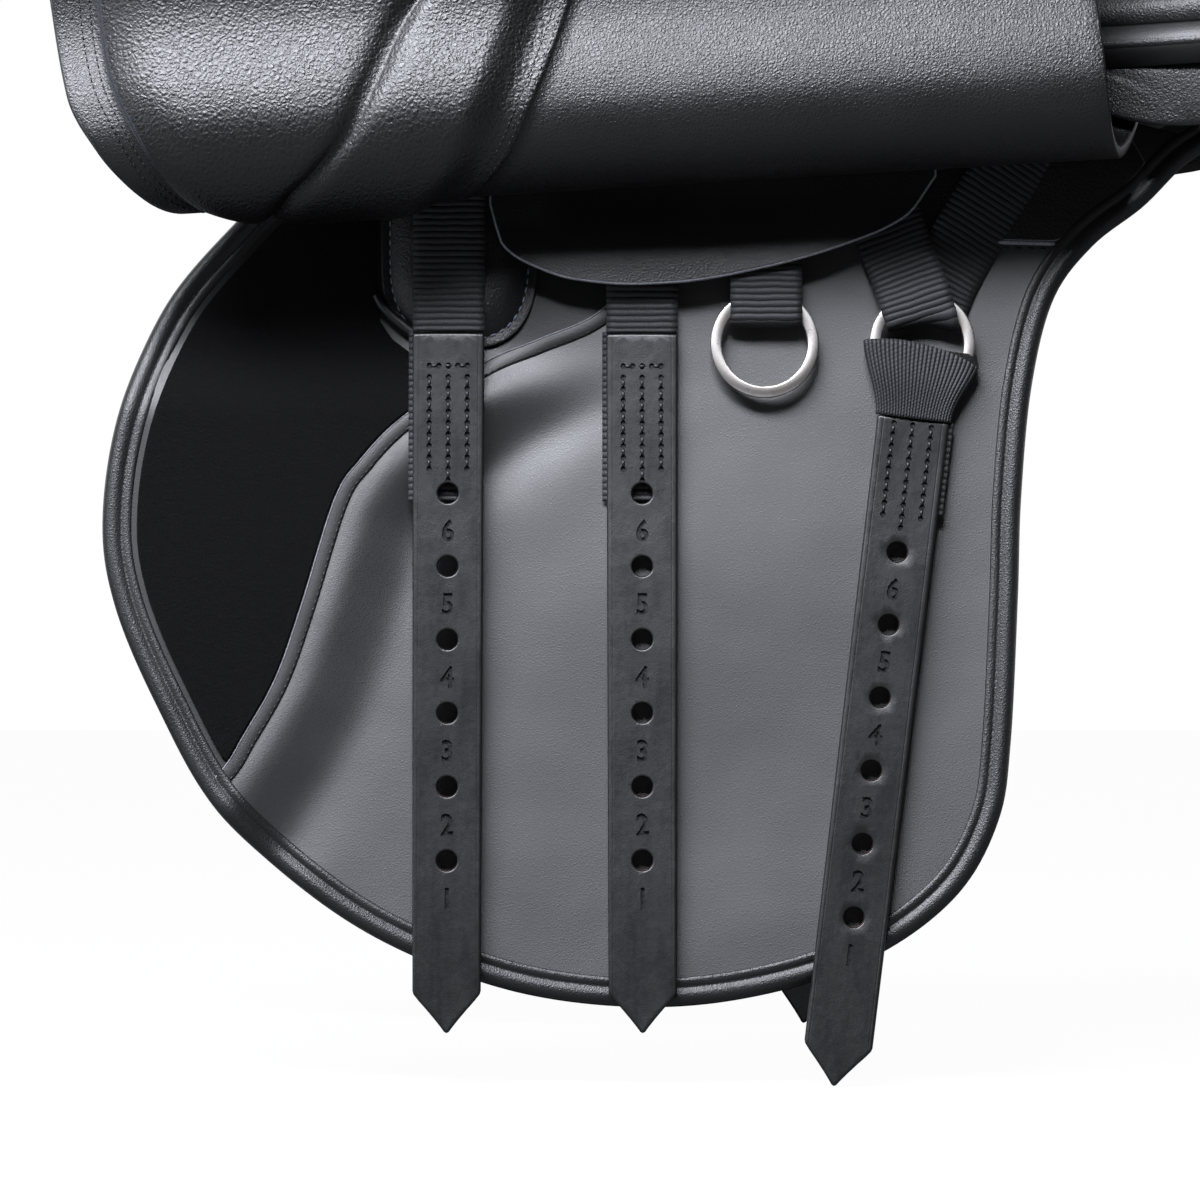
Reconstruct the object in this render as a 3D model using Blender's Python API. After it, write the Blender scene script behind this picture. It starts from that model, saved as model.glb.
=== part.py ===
# Jumping saddle with its near outer flap folded up over the seat.
#
# The head of the saddle points along -X, the near (left) side is -Y, the off side +Y, and +Z is up.
# The origin lies on the middle plane, at the level where the rear panels end.
# Sizes are in millimetres and become metres when a mesh is made.
# Side pieces are described by their distance from the middle plane, so one function makes both sides.

import math

import bmesh
import bpy
from mathutils import Vector
from mathutils.geometry import delaunay_2d_cdt

MM = 0.001
SIDES = {"near": -1, "off": 1}

# Driving sizes
GAP = 0.3                    # clearance between touching pieces
HALF_LENGTH_FRONT = 188.0    # head of the tree, ahead of the origin
HALF_LENGTH_REAR = 278.0     # cantle, behind the origin
SEAT_THICK = 14.0            # seat foam and cover on the middle line
SEAT_EDGE_THICK = 8.0        # the same at the seat's edge
TREE_THICK = 8.0
WEB_SEAT_THICK = 2.0         # strained web under the seat
HEAD_PLATE_THICK = 4.0
HEAD_PLATE_WIDTH = 34.0
WELT_RADIUS = 2.6
SKIRT_THICK = 3.2
BAND_THICK = 2.2
SKIRT_BAND_DEPTH = 25.0
FLAP_THICK = 4.5             # outer flap leather
KNEE_PAD_THICK = 6.0         # padding under the outer flap
SWEAT_FLAP_THICK = 5.0
BLOCK_RISE = 6.5             # raised base of the removable block
FASTENER_THICK = 1.0         # loop fastener field
BINDING_WIDTH = 6.6
BINDING_DEPTH = 9.0
POCKET_RISE = 7.2            # point pocket above the sweat flap
POCKET_WALL = 2.2
GUARD_THICK = 2.5
WEB_WIDTH = 25.0             # girth webbing
WEB_THICK = 2.0
STRAP_WIDTH = 25.0           # girth strap leather
STRAP_TIP_WIDTH = 23.5
STRAP_THICK = 4.0
STRAP_LENGTH = 242.0
STRAP_TIP = 10.0
HOLE_DIAMETER = 7.0
HOLE_PITCH = 25.4
HOLE_COUNT = 6
FIRST_HOLE = 56.0            # strap end to its first hole
GIRTH_RING_OUTSIDE = 37.0
FREE_RING_OUTSIDE = 38.0
RING_WIRE = 3.8
RING_LOOP_WIDTH = 12.0       # webbing bunched round a ring
RING_LOOP_PLAY = 1.7
SLEEVE_TOP_WIDTH = 42.0
SLEEVE_DEPTH = 25.4
SLEEVE_WALL = 1.8
BAR_THICK = 6.0
BAR_HEIGHT = 9.0
BAR_LENGTH = 62.0
BAR_PLATE_THICK = 3.4
STIRRUP_SLOT = 6.5           # room for the stirrup leather behind the bar
FLAP_TILT = math.radians(3.4)
FOLD_RADIUS = 27.0
FOLD_STEPS = 5
OVER_SEAT_RADIUS = 110.0
OVER_SEAT_STEPS = 3
POMMEL_RING_OUTSIDE = 26.0
POMMEL_RING_WIRE = 3.2


def smooth(table):
    """A smooth function through a short table of (position, value) pairs, without overshoot."""
    xs = [row[0] for row in table]
    ys = [row[1] for row in table]
    slopes = [(ys[i + 1] - ys[i]) / (xs[i + 1] - xs[i]) for i in range(len(xs) - 1)]
    tangents = [slopes[0]]
    for before, after in zip(slopes, slopes[1:]):
        if before * after <= 0:
            tangents.append(0.0)
        else:
            tangents.append(2 * before * after / (before + after))
    tangents.append(slopes[-1])

    def value(x):
        x = min(max(x, xs[0]), xs[-1])
        i = 0
        while i < len(xs) - 2 and x > xs[i + 1]:
            i += 1
        h = xs[i + 1] - xs[i]
        t = (x - xs[i]) / h
        return (ys[i] * (1 + 2 * t) * (1 - t) ** 2 + tangents[i] * h * t * (1 - t) ** 2
                + ys[i + 1] * t * t * (3 - 2 * t) + tangents[i + 1] * h * t * t * (t - 1))

    return value


def ramp(x, low, high):
    """0 below low, 1 above high, and an even rise between."""
    t = min(max((x - low) / (high - low), 0.0), 1.0)
    return t * t * (3 - 2 * t)


def blend(a, b, t):
    return a + (b - a) * t


# Seat: height on the middle line, half width and height of the welt, along the saddle
seat_crown = smooth([(-188, 168), (-178, 183), (-150, 174), (-110, 142), (-60, 117), (0, 105), (40, 107),
                     (90, 118), (126, 131), (170, 153), (210, 181), (245, 209), (262, 217), (278, 206)])
welt_out = smooth([(-188, 32), (-178, 41), (-150, 52), (-110, 60), (-60, 68), (-10, 82), (40, 104),
                   (90, 128), (126, 143), (170, 152), (210, 146), (245, 122), (262, 98), (278, 62)])
welt_up = smooth([(-188, 138), (-178, 136), (-150, 124), (-110, 102), (-60, 84), (-10, 70), (40, 61),
                  (90, 57), (126, 58), (170, 65), (210, 82), (245, 110), (262, 138), (278, 168)])

# Tips of the tree's wings, which carry the stirrup bars and the girth webs
WING_REAR = -30.0
wing_out = smooth([(-160, 86), (-134, 90), (-60, 93), (-30, 94)])
wing_up = smooth([(-160, 43), (-134, 41), (-60, 41), (-30, 45)])
TREE_EDGE = 0.95             # tree's edge, as a share of the seat's half width
UNDER_SEAT = 0.985           # the seat's underside is a little narrower than its top
SEAT_CLEARANCE = 0.9


def seat_top(x, share):
    """Seat surface at x, at a share of the way out to the welt."""
    rise = (1 - share * share) ** 0.8 if abs(share) < 1 else 0.0
    return share * welt_out(x), blend(welt_up(x), seat_crown(x), rise)


def seat_depth(share):
    return blend(SEAT_THICK, SEAT_EDGE_THICK, abs(share))


def under_seat(x, share, drop=0.0):
    """Underside of the seat, or a drop below it."""
    y, z = seat_top(x, share)
    return y * UNDER_SEAT, z - seat_depth(share) - drop


def wing_face(x, t):
    """Outer face of the tree's wing: t is 0 at the tree's edge and 1 at the wing's tip."""
    y, z = under_seat(x, 1.0, SEAT_CLEARANCE)
    return blend(y, wing_out(x), t), blend(z, wing_up(x), t)


def wing_out_at(x, z):
    """How far out the wing's face lies at a height."""
    y0, z0 = wing_face(x, 0)
    y1, z1 = wing_face(x, 1)
    return y0 + (y1 - y0) * (z0 - z) / (z0 - z1)


def wing_normal(x):
    y0, z0 = wing_face(x, 0)
    y1, z1 = wing_face(x, 1)
    length = math.hypot(y1 - y0, z1 - z0)
    return (z0 - z1) / length, (y1 - y0) / length


# Sweat flap: how far its outer face lies from the middle plane
FLAP_FACE_OUT = 114.4
FLAP_FACE_SLOPE = 0.16
FLAP_TOP_BEND = 10.0
FLAP_TOP_LEVEL = 38.0
block_edge = [(-66, -26), (-83.5, -43.5), (-105, -53), (-123.5, -61), (-151, -80), (-165, -94.5), (-173, -107),
              (-184, -143), (-193, -169), (-204, -189), (-213, -203), (-236, -226)]


def flap_face(z):
    """Plain outer face of the sweat flap, which leans in towards the tree above its bend."""
    over = max(z - FLAP_TOP_BEND, 0.0)
    return FLAP_FACE_OUT - FLAP_FACE_SLOPE * z - 0.0083 * over * over


def distance_to_block_edge(x, z):
    """Distance from the block's lower edge, positive on the smooth leather behind it."""
    best, sign = 1e9, 1.0
    for (x0, z0), (x1, z1) in zip(block_edge, block_edge[1:]):
        dx, dz = x1 - x0, z1 - z0
        t = min(max(((x - x0) * dx + (z - z0) * dz) / (dx * dx + dz * dz), 0.0), 1.0)
        d = math.hypot(x - x0 - t * dx, z - z0 - t * dz)
        if d < best:
            best = d
            sign = -1.0 if dx * (z - z0) - dz * (x - x0) < 0 else 1.0
    return best * sign


RIDGE_WIDTH = 30.0


def block_relief(x, z):
    """The leather rises from the flat rear part over a soft ridge to the block's base."""
    height = blend(2.2, BLOCK_RISE, ramp(-x, 88, 133)) * ramp(-z, 50, 76)
    d = distance_to_block_edge(x, z)
    shape = 1 - ramp(d, 4, RIDGE_WIDTH) + 0.1 * math.exp(-((d - 7) / 5) ** 2)
    shape -= 0.16 * math.exp(-((d - RIDGE_WIDTH) / 10) ** 2)
    return height * shape


def flap_outer(x, z):
    return flap_face(z) + block_relief(x, z)


def material(name, colour, roughness, metallic=0.0):
    found = bpy.data.materials.get(name)
    if found:
        return found
    made = bpy.data.materials.new(name)
    made.use_nodes = True
    shader = made.node_tree.nodes["Principled BSDF"]
    shader.inputs["Base Color"].default_value = (*colour, 1.0)
    shader.inputs["Roughness"].default_value = roughness
    shader.inputs["Metallic"].default_value = metallic
    return made


def finish_named(name):
    finishes = {
        "smooth_leather": ((0.075, 0.078, 0.085), 0.5),
        "strap_leather": ((0.02, 0.02, 0.022), 0.3),
        "grained_leather": ((0.018, 0.018, 0.02), 0.45),
        "binding_leather": ((0.025, 0.025, 0.027), 0.55),
        "webbing": ((0.02, 0.021, 0.024), 0.7),
        "loop_fastener": ((0.012, 0.012, 0.014), 0.95),
        "wood": ((0.35, 0.22, 0.12), 0.6),
        "steel": ((0.35, 0.34, 0.33), 0.3, 1.0),
    }
    return material(name, *finishes[name])


def make_object(name, points, faces, finish, pivot=(0, 0, 0)):
    """A closed body from points in millimetres, with its origin on its joint's axis."""
    at = Vector(pivot)
    mesh = bpy.data.meshes.new(name)
    mesh.from_pydata([(Vector(p) - at) * MM for p in points], [], faces)
    work = bmesh.new()
    work.from_mesh(mesh)
    bmesh.ops.remove_doubles(work, verts=work.verts, dist=0.01 * MM)
    bmesh.ops.recalc_face_normals(work, faces=work.faces)
    work.to_mesh(mesh)
    work.free()
    mesh.materials.append(finish_named(finish))
    mesh.shade_smooth()
    mesh.set_sharp_from_angle(angle=math.radians(35))
    made = bpy.data.objects.new(name, mesh)
    made.location = at * MM
    bpy.context.collection.objects.link(made)
    return made


def on_side(point, side):
    x, y, z = point
    return (x, y * side, z)


def grid_body(name, outer, inner, finish, side=1, keep=None, pivot=(0, 0, 0)):
    """A sheet with a thickness: two grids of points, joined along every open edge."""
    rows, columns = len(outer), len(outer[0])
    points = [on_side(p, side) for row in outer for p in row] + [on_side(p, side) for row in inner for p in row]
    back = rows * columns
    cells = [(i, j) for i in range(rows - 1) for j in range(columns - 1) if keep is None or keep(i, j)]
    faces, edges = [], {}
    for i, j in cells:
        corners = [i * columns + j, i * columns + j + 1, (i + 1) * columns + j + 1, (i + 1) * columns + j]
        a, b, c, d = corners
        faces += [[a, b, c], [a, c, d], [back + c, back + b, back + a], [back + d, back + c, back + a]]
        for a, b in zip(corners, corners[1:] + corners[:1]):
            key = (min(a, b), max(a, b))
            edges[key] = edges.get(key, 0) + 1
    for (a, b), count in edges.items():
        if count == 1:
            faces.append([a, b, back + b, back + a])
    used = sorted({v for face in faces for v in face})
    index = {v: k for k, v in enumerate(used)}
    return make_object(name, [points[v] for v in used], [[index[v] for v in f] for f in faces], finish, pivot)


def inside(point, polygon):
    x, z = point
    hit = False
    for (x0, z0), (x1, z1) in zip(polygon, polygon[1:] + polygon[:1]):
        if (z0 > z) != (z1 > z) and x < (x1 - x0) * (z - z0) / (z1 - z0) + x0:
            hit = not hit
    return hit


def clear_of(point, polygon, distance):
    return all(math.hypot(point[0] - x, point[1] - z) > distance for x, z in polygon)


def outline_body(name, outline, outer, inner, finish, side=1, holes=(), fill=(), pivot=(0, 0, 0)):
    """A sheet cut to an outline in the XZ plane, with holes. outer and inner give its two faces."""
    flat, edges = [], []
    for loop in [outline, *holes]:
        start = len(flat)
        flat += loop
        edges += [(start + k, start + (k + 1) % len(loop)) for k in range(len(loop))]
    flat += fill
    found = delaunay_2d_cdt([Vector(p) for p in flat], edges, [], 0, 1e-5)
    where, triangles = found[0], found[2]
    kept = []
    for tri in triangles:
        cx = sum(where[v].x for v in tri) / 3
        cz = sum(where[v].y for v in tri) / 3
        if inside((cx, cz), outline) and not any(inside((cx, cz), hole) for hole in holes):
            kept.append(list(tri))
    points = [(p.x, outer(p.x, p.y), p.y) for p in where] + [(p.x, inner(p.x, p.y), p.y) for p in where]
    back = len(where)
    faces = kept + [[back + v for v in reversed(tri)] for tri in kept]
    count = {}
    for tri in kept:
        for a, b in zip(tri, tri[1:] + tri[:1]):
            count[(min(a, b), max(a, b))] = count.get((min(a, b), max(a, b)), 0) + 1
    faces += [[a, b, back + b, back + a] for (a, b), n in count.items() if n == 1]
    used = sorted({v for face in faces for v in face})
    index = {v: k for k, v in enumerate(used)}
    points = [on_side(points[v], side) for v in used]
    return make_object(name, points, [[index[v] for v in f] for f in faces], finish, pivot)


def sweep_body(name, path, section, finish, side=1, closed=False, pivot=(0, 0, 0)):
    """A section carried along a path. section(k) gives the ring of points at path point k."""
    rings = [section(k) for k in range(len(path))]
    n = len(rings[0])
    points = [on_side(p, side) for ring in rings for p in ring]
    faces = []
    steps = len(rings) if closed else len(rings) - 1
    for k in range(steps):
        a, b = k * n, ((k + 1) % len(rings)) * n
        faces += [[a + j, a + (j + 1) % n, b + (j + 1) % n, b + j] for j in range(n)]
    if not closed:
        faces.append(list(range(n))[::-1])
        faces.append([(len(rings) - 1) * n + j for j in range(n)])
    return make_object(name, points, faces, finish, pivot)


def ribbon_body(name, centre, across, width, thick, finish, side=1, pivot=(0, 0, 0)):
    """A flat strap: centre points, the direction across it and its width at each point."""
    middle = [Vector(p) for p in centre]

    def section(k):
        ahead = middle[min(k + 1, len(middle) - 1)] - middle[max(k - 1, 0)]
        wide = Vector(across[k]).normalized()
        up = ahead.cross(wide).normalized() * thick / 2
        wide = up.cross(ahead).normalized() * width[k] / 2
        if wide.dot(Vector(across[k])) < 0:
            wide = -wide
        return [middle[k] + wide + up, middle[k] - wide + up, middle[k] - wide - up, middle[k] + wide - up]

    return sweep_body(name, middle, section, finish, side, False, pivot)


def round_section(centre, one, two, sides):
    """Points round a centre, from two half-axis vectors."""
    angles = [2 * math.pi * k / sides for k in range(sides)]
    return [Vector(centre) + Vector(one) * math.cos(a) + Vector(two) * math.sin(a) for a in angles]


def even_points(points, count):
    """Points at even steps along a smooth curve through the given ones."""
    fine = []
    for i in range(len(points) - 1):
        p0 = points[max(i - 1, 0)]
        p1, p2 = points[i], points[i + 1]
        p3 = points[min(i + 2, len(points) - 1)]
        for k in range(12):
            t = k / 12
            fine.append(tuple(0.5 * (2 * b + (c - a) * t + (2 * a - 5 * b + 4 * c - d) * t * t
                                     + (3 * b - a - 3 * c + d) * t ** 3)
                              for a, b, c, d in zip(p0, p1, p2, p3)))
    fine.append(tuple(points[-1]))
    lengths = [0.0]
    for a, b in zip(fine, fine[1:]):
        lengths.append(lengths[-1] + math.dist(a, b))
    out, i = [], 0
    for k in range(count):
        want = lengths[-1] * k / (count - 1)
        while i < len(fine) - 2 and lengths[i + 1] < want:
            i += 1
        t = (want - lengths[i]) / (lengths[i + 1] - lengths[i])
        out.append(tuple(blend(a, b, t) for a, b in zip(fine[i], fine[i + 1])))
    return out


def moved_in(path, distance):
    """An open path moved to its left by a distance, with mitred corners."""
    out = []
    for k, (x, z) in enumerate(path):
        normals = []
        for a, b in ((k - 1, k), (k, k + 1)):
            if a >= 0 and b < len(path):
                dx, dz = path[b][0] - path[a][0], path[b][1] - path[a][1]
                length = math.hypot(dx, dz)
                normals.append((-dz / length, dx / length))
        nx = sum(n[0] for n in normals) / len(normals)
        nz = sum(n[1] for n in normals) / len(normals)
        square = nx * nx + nz * nz
        out.append((x + nx / square * distance, z + nz / square * distance))
    return out


SEAT_STATIONS = [-188, -183, -175, -160, -135, -105, -70, -30, 10, 55, 100, 145, 185, 220, 245, 262, 273, 278]
SEAT_SHARES = [0.16, 0.46, 0.62, 0.8, TREE_EDGE, 1]


def make_seat():
    """Seat of foam under a leather cover: crowned, dipped in the middle, drawn in at the welt."""
    shares = [-s for s in reversed(SEAT_SHARES)] + SEAT_SHARES
    top = [[(x, *seat_top(x, s)) for s in shares] for x in SEAT_STATIONS]
    under = [[(x, *under_seat(x, s)) for s in shares] for x in SEAT_STATIONS]
    grid_body("seat", top, under, "grained_leather")


TREE_STATIONS = [x for x in SEAT_STATIONS if -165 < x < 270]
HOLE_FRONT, HOLE_REAR = -105, 145
HOLE_SHARE = 0.46


def tree_rows(x, winged):
    """Upper and lower face of half the tree at x, from the middle line outwards."""
    upper = [under_seat(x, s, SEAT_CLEARANCE) for s in SEAT_SHARES[:-1]]
    lower = [under_seat(x, s, SEAT_CLEARANCE + TREE_THICK) for s in SEAT_SHARES[:-1]]
    edge_y, edge_z = upper[-1]
    if winged:
        ny, nz = wing_normal(x)
        lower[-1] = (edge_y - ny * TREE_THICK, edge_z - nz * TREE_THICK - 1)
        for t in (0.0, 0.5, 1.0):
            y, z = wing_face(x, t)
            upper.append((y, z))
            lower.append((y - ny * TREE_THICK, z - nz * TREE_THICK))
    else:
        low_y, low_z = lower[-1][0], lower[-1][1] + 3.5
        lower[-1] = (low_y, low_z)
        for t in (0.2, 0.4, 0.6):
            upper.append((edge_y + t, edge_z - 3 * t))
            lower.append((low_y + t, low_z + t))
    return upper, lower


def make_tree():
    """Laminated wooden tree: head, two rails and cantle round an open middle, with wings at the points."""
    stations, top, under = [], [], []
    for x in TREE_STATIONS:
        stations.append((x, *tree_rows(x, x <= WING_REAR)))
        if x == WING_REAR:
            after = TREE_STATIONS[TREE_STATIONS.index(x) + 1]
            ends = [tree_rows(at, False) for at in (x, after)]
            between = [[(blend(a[0], b[0], 0.15), blend(a[1], b[1], 0.15)) for a, b in zip(*faces)]
                       for faces in zip(*ends)]
            stations.append((blend(x, after, 0.15), *between))
    for x, upper, lower in stations:
        top.append([(x, -y, z) for y, z in reversed(upper)] + [(x, y, z) for y, z in upper])
        under.append([(x, -y, z) for y, z in reversed(lower)] + [(x, y, z) for y, z in lower])
    middle = len(top[0]) // 2

    def solid(i, j):
        in_rows = HOLE_FRONT <= stations[i][0] < HOLE_REAR
        return not (in_rows and middle - 2 <= j <= middle)

    grid_body("tree", top, under, "wood", keep=solid)


def make_seat_web():
    """Webbing strained over the open middle of the tree, under the seat."""
    stations = [x for x in SEAT_STATIONS if HOLE_FRONT <= x <= HOLE_REAR]
    rows = []
    for x in stations:
        half = [Vector((x, *under_seat(x, s, SEAT_CLEARANCE))) for s in (SEAT_SHARES[0], HOLE_SHARE)]
        half[1] = half[0].lerp(half[1], 0.93)
        rows.append([Vector((x, -p.y, p.z)) for p in reversed(half)] + half)
    rows[0] = [a.lerp(b, 0.05) for a, b in zip(rows[0], rows[1])]
    rows[-1] = [a.lerp(b, 0.05) for a, b in zip(rows[-1], rows[-2])]
    under = [[p - Vector((0, 0, WEB_SEAT_THICK)) for p in row] for row in rows]
    grid_body("seat_web", rows, under, "webbing")


POINT_X = -134.0             # middle of the tree's points and of the pockets


def make_head_plate():
    """Steel arch under the tree's head, down to the tips of its wings."""
    rear, front = POINT_X + HEAD_PLATE_WIDTH / 2, POINT_X - HEAD_PLATE_WIDTH / 2
    drop = TREE_THICK + SEAT_CLEARANCE + HEAD_PLATE_THICK / 2 - 0.4
    half = [(0.0, under_seat(rear, 0.16, drop)[1])]
    for s in (0.3, 0.6):
        y, z = under_seat(rear, s, drop + 1)
        half.append((y, z))
    inset = TREE_THICK + HEAD_PLATE_THICK / 2 + 1
    for z in (82.0, 64.0, 46.0):
        out = min(wing_out_at(rear, z), wing_out_at(front, z))
        half.append((out - inset * 1.25, z))
    path = [(POINT_X, -y, z) for y, z in reversed(half[1:])] + [(POINT_X, y, z) for y, z in half]
    ribbon_body("head_plate", path, [(1, 0, 0)] * len(path), [HEAD_PLATE_WIDTH] * len(path),
                HEAD_PLATE_THICK, "steel")


def make_seat_welt():
    """Piping round the seat's edge, from the head along each side and round the cantle."""
    offset = WELT_RADIUS + GAP
    edge = [(x, welt_out(x)) for x in SEAT_STATIONS]
    moved = moved_in(edge, offset)
    half = [(x, y, welt_up(station) - SEAT_EDGE_THICK / 2) for (x, y), station in zip(moved, SEAT_STATIONS)]
    back = HALF_LENGTH_REAR + offset
    half[-1] = (back, half[-1][1], half[-1][2])
    across = [(back, y, half[-1][2]) for y in (52, 20, -20, -52)]
    points = [Vector(p) for p in half + across + [(x, -y, z) for x, y, z in reversed(half)]]

    def section(k):
        ahead = (points[min(k + 1, len(points) - 1)] - points[max(k - 1, 0)]).normalized()
        out = ahead.cross(Vector((0, 0, 1))).normalized()
        up = out.cross(ahead)
        return round_section(points[k], out * WELT_RADIUS, up * WELT_RADIUS, 6)

    sweep_body("seat_welt", points, section, "binding_leather")


SKIRT_PIVOT_FRONT = (-148.0, 68.0, 104.0)
SKIRT_PIVOT_REAR = (-12.0, 97.0, 59.0)
SKIRT_REACH = 143.0          # the skirt bulges round the stirrup bar
skirt_low_out = smooth([(-160, 131), (-60, 132), (0, 133)])
skirt_low_up = smooth([(-160, 15), (-100, 15), (-60, 17), (0, 22)])


BAND_ROWS = 6


def band_section(x):
    """Inner face of the band, top to bottom: clear of the wing in front and of the flap's shoulder behind."""
    y = welt_out(x)
    drop = blend(3.4, 1.4, ramp(x, 90, 120)) + 2.0 * ramp(x, 15, 45) + 2.4 * ramp(x, 150, 210)
    z = welt_up(x) - SEAT_EDGE_THICK / 2 - WELT_RADIUS - drop
    if x < -45:
        line = []
        for t in (0.0, 0.2, 0.4, 0.6, 0.8, 1.0):
            low = z + 1.2 - 6.5 * t
            line.append((max(y + 1.0 + 3 * t, wing_out_at(x, low) + 5.8), low))
        return line
    start = y + 0.8 + 3.4 * ramp(x, 10, 30) * (1 - ramp(x, 100, 125))
    line = [(start, z)]
    free = ramp(x, 78, 112)
    for v, fall in ((26.0, 8.0), (40.0, SKIRT_BAND_DEPTH)):
        out, up = strip_frame((FLAP_ORIGIN_OUT, 0.0), TOP_HEADING, v, -FLAP_THICK - 2.4)
        _, flap_y, flap_z = in_flap_frame(x, out, up)
        line.append((max(blend(flap_y, start, free), start), blend(flap_z, z - fall, free)))
    middle = (blend(line[0][0], line[1][0], 0.5), blend(line[0][1], line[1][1], 0.5) + 3 * (1 - free))
    line.insert(1, middle)
    reach = blend(0.2, 1.0, ramp(x, 8, 45))
    spans = [math.dist(a, b) for a, b in zip(line, line[1:])]
    section = []
    for k in range(BAND_ROWS):
        left = sum(spans) * reach * k / (BAND_ROWS - 1)
        n = 0
        while n < len(spans) - 1 and left > spans[n]:
            left -= spans[n]
            n += 1
        t = left / spans[n]
        section.append((blend(line[n][0], line[n + 1][0], t), blend(line[n][1], line[n + 1][1], t)))
    return section


def make_skirt_band(label, side):
    """Leather band under the welt, from the head to the cantle, deepest beside the seat."""
    stations = [-158, -135, -105, -70, -50, -40, -20, 0, 20, 35, 50, 75, 100, 125, 155, 190, 215, 236]
    shrink = smooth([(-158, 1), (155, 1), (236, 0.5)])
    outer, inner = [], []
    for x in stations:
        line = band_section(x)
        (y0, z0), share = line[0], shrink(x)
        line = [(blend(y0, y, share), blend(z0, z, share)) for y, z in line]
        row_out = []
        for k, (y, z) in enumerate(line):
            ya, za = line[max(k - 1, 0)]
            yb, zb = line[min(k + 1, BAND_ROWS - 1)]
            length = math.hypot(yb - ya, zb - za)
            row_out.append((x, y + (za - zb) / length * BAND_THICK, z + (yb - ya) / length * BAND_THICK))
        outer.append(row_out)
        inner.append([(x, y, z) for y, z in line])
    grid_body(f"skirt_band_{label}", outer, inner, "grained_leather", side)


def make_skirt(label, side):
    """Skirt over the stirrup bar. It lifts about a straight line under the band."""
    a, b = Vector(SKIRT_PIVOT_FRONT), Vector(SKIRT_PIVOT_REAR)
    outer, inner = [], []
    for k in range(8):
        t = k / 7
        top = a.lerp(b, t)
        low_x = blend(-160, -4, t)
        low_y, low_z = skirt_low_out(low_x), skirt_low_up(low_x)
        line = [(top.y, top.z), (blend(top.y, 130, 0.4), top.z + 8), (130, blend(top.z, 62, 0.25) + 5),
                (SKIRT_REACH, 60), (SKIRT_REACH - 1, 40), (low_y, low_z)]
        row_out, row_in = [], []
        for n, (y, z) in enumerate(line):
            ya, za = line[max(n - 1, 0)]
            yb, zb = line[min(n + 1, 5)]
            length = math.hypot(yb - ya, zb - za)
            x = blend(top.x, low_x, n / 5)
            row_in.append((x, y, z))
            row_out.append((x, y + (za - zb) / length * SKIRT_THICK, z + (yb - ya) / length * SKIRT_THICK))
        outer.append(row_out)
        inner.append(row_in)
    pivot = on_side(SKIRT_PIVOT_FRONT, side)
    grid_body(f"skirt_{label}", outer, inner, "grained_leather", side, pivot=pivot)


def panel_top(x):
    """Inner and outer corner of a panel's top, clear of the tree above it."""
    if x <= WING_REAR:
        ny, nz = wing_normal(x)
        deep = TREE_THICK + (HEAD_PLATE_THICK + 9 if x < -100 else 1.2)
        return [(y - ny * deep, z - nz * deep) for y, z in (wing_face(x, -0.03), wing_face(x, 0.97))]
    limit = 94.0 if x < 115 else 112.0
    share = min(TREE_EDGE, limit / welt_out(x))
    return [under_seat(x, s, SEAT_CLEARANCE + TREE_THICK + 3.2) for s in (0.42, share)]


PANEL_SECTION = [(0.0, 0.25), (0.06, 0.04), (0.3, 0.0), (0.7, 0.0), (0.94, 0.04), (1.0, 0.3),
                 (0.98, 0.7), (0.85, 0.95), (0.55, 1.06), (0.25, 0.98), (0.06, 0.75)]
panel_thick = smooth([(-160, 20), (-130, 30), (-60, 38), (20, 44), (135, 46), (205, 42), (258, 30), (268, 14)])
PANEL_KNOTS = [-160, -105, -50, 60, 115, 170, 215, 268]
panel_corners = [smooth([(x, panel_top(x)[k // 2][k % 2]) for x in PANEL_KNOTS]) for k in range(4)]


def make_panel(label, side):
    """Wool-filled panel under the tree, which rests along the horse's back beside the gullet."""
    rings = []
    for x in (-160, -130, -105, -80, -50, -20, 15, 50, 85, 115, 145, 175, 205, 235, 258, 268):
        y0, z0, y1, z1 = [corner(x) for corner in panel_corners]
        length = math.hypot(y1 - y0, z1 - z0)
        dy, dz = (y1 - y0) / length, (z1 - z0) / length
        ny, nz = dz, -dy
        t = panel_thick(x)
        rings.append([Vector((x, y0 + dy * length * along + ny * down * t, z0 + dz * length * along + nz * down * t))
                      for along, down in PANEL_SECTION])
    sweep_body(f"panel_{label}", rings, lambda k: rings[k], "grained_leather", side)


FLAP_EDGE = [(-190, 15), (-210, -5), (-236, -36), (-252, -74), (-257.5, -112), (-253, -142), (-238, -177),
             (-217, -213), (-184, -243), (-150, -263), (-108, -277), (-62, -281), (-20, -275), (14, -262),
             (40, -242), (54, -217), (58.5, -190), (61.5, -140), (63, -105), (67, -66), (75, -35), (89, -16),
             (107, -2), (121, 12)]
FLAP_EDGE_STEPS = 76
flap_edge = even_points(FLAP_EDGE, FLAP_EDGE_STEPS)


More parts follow.
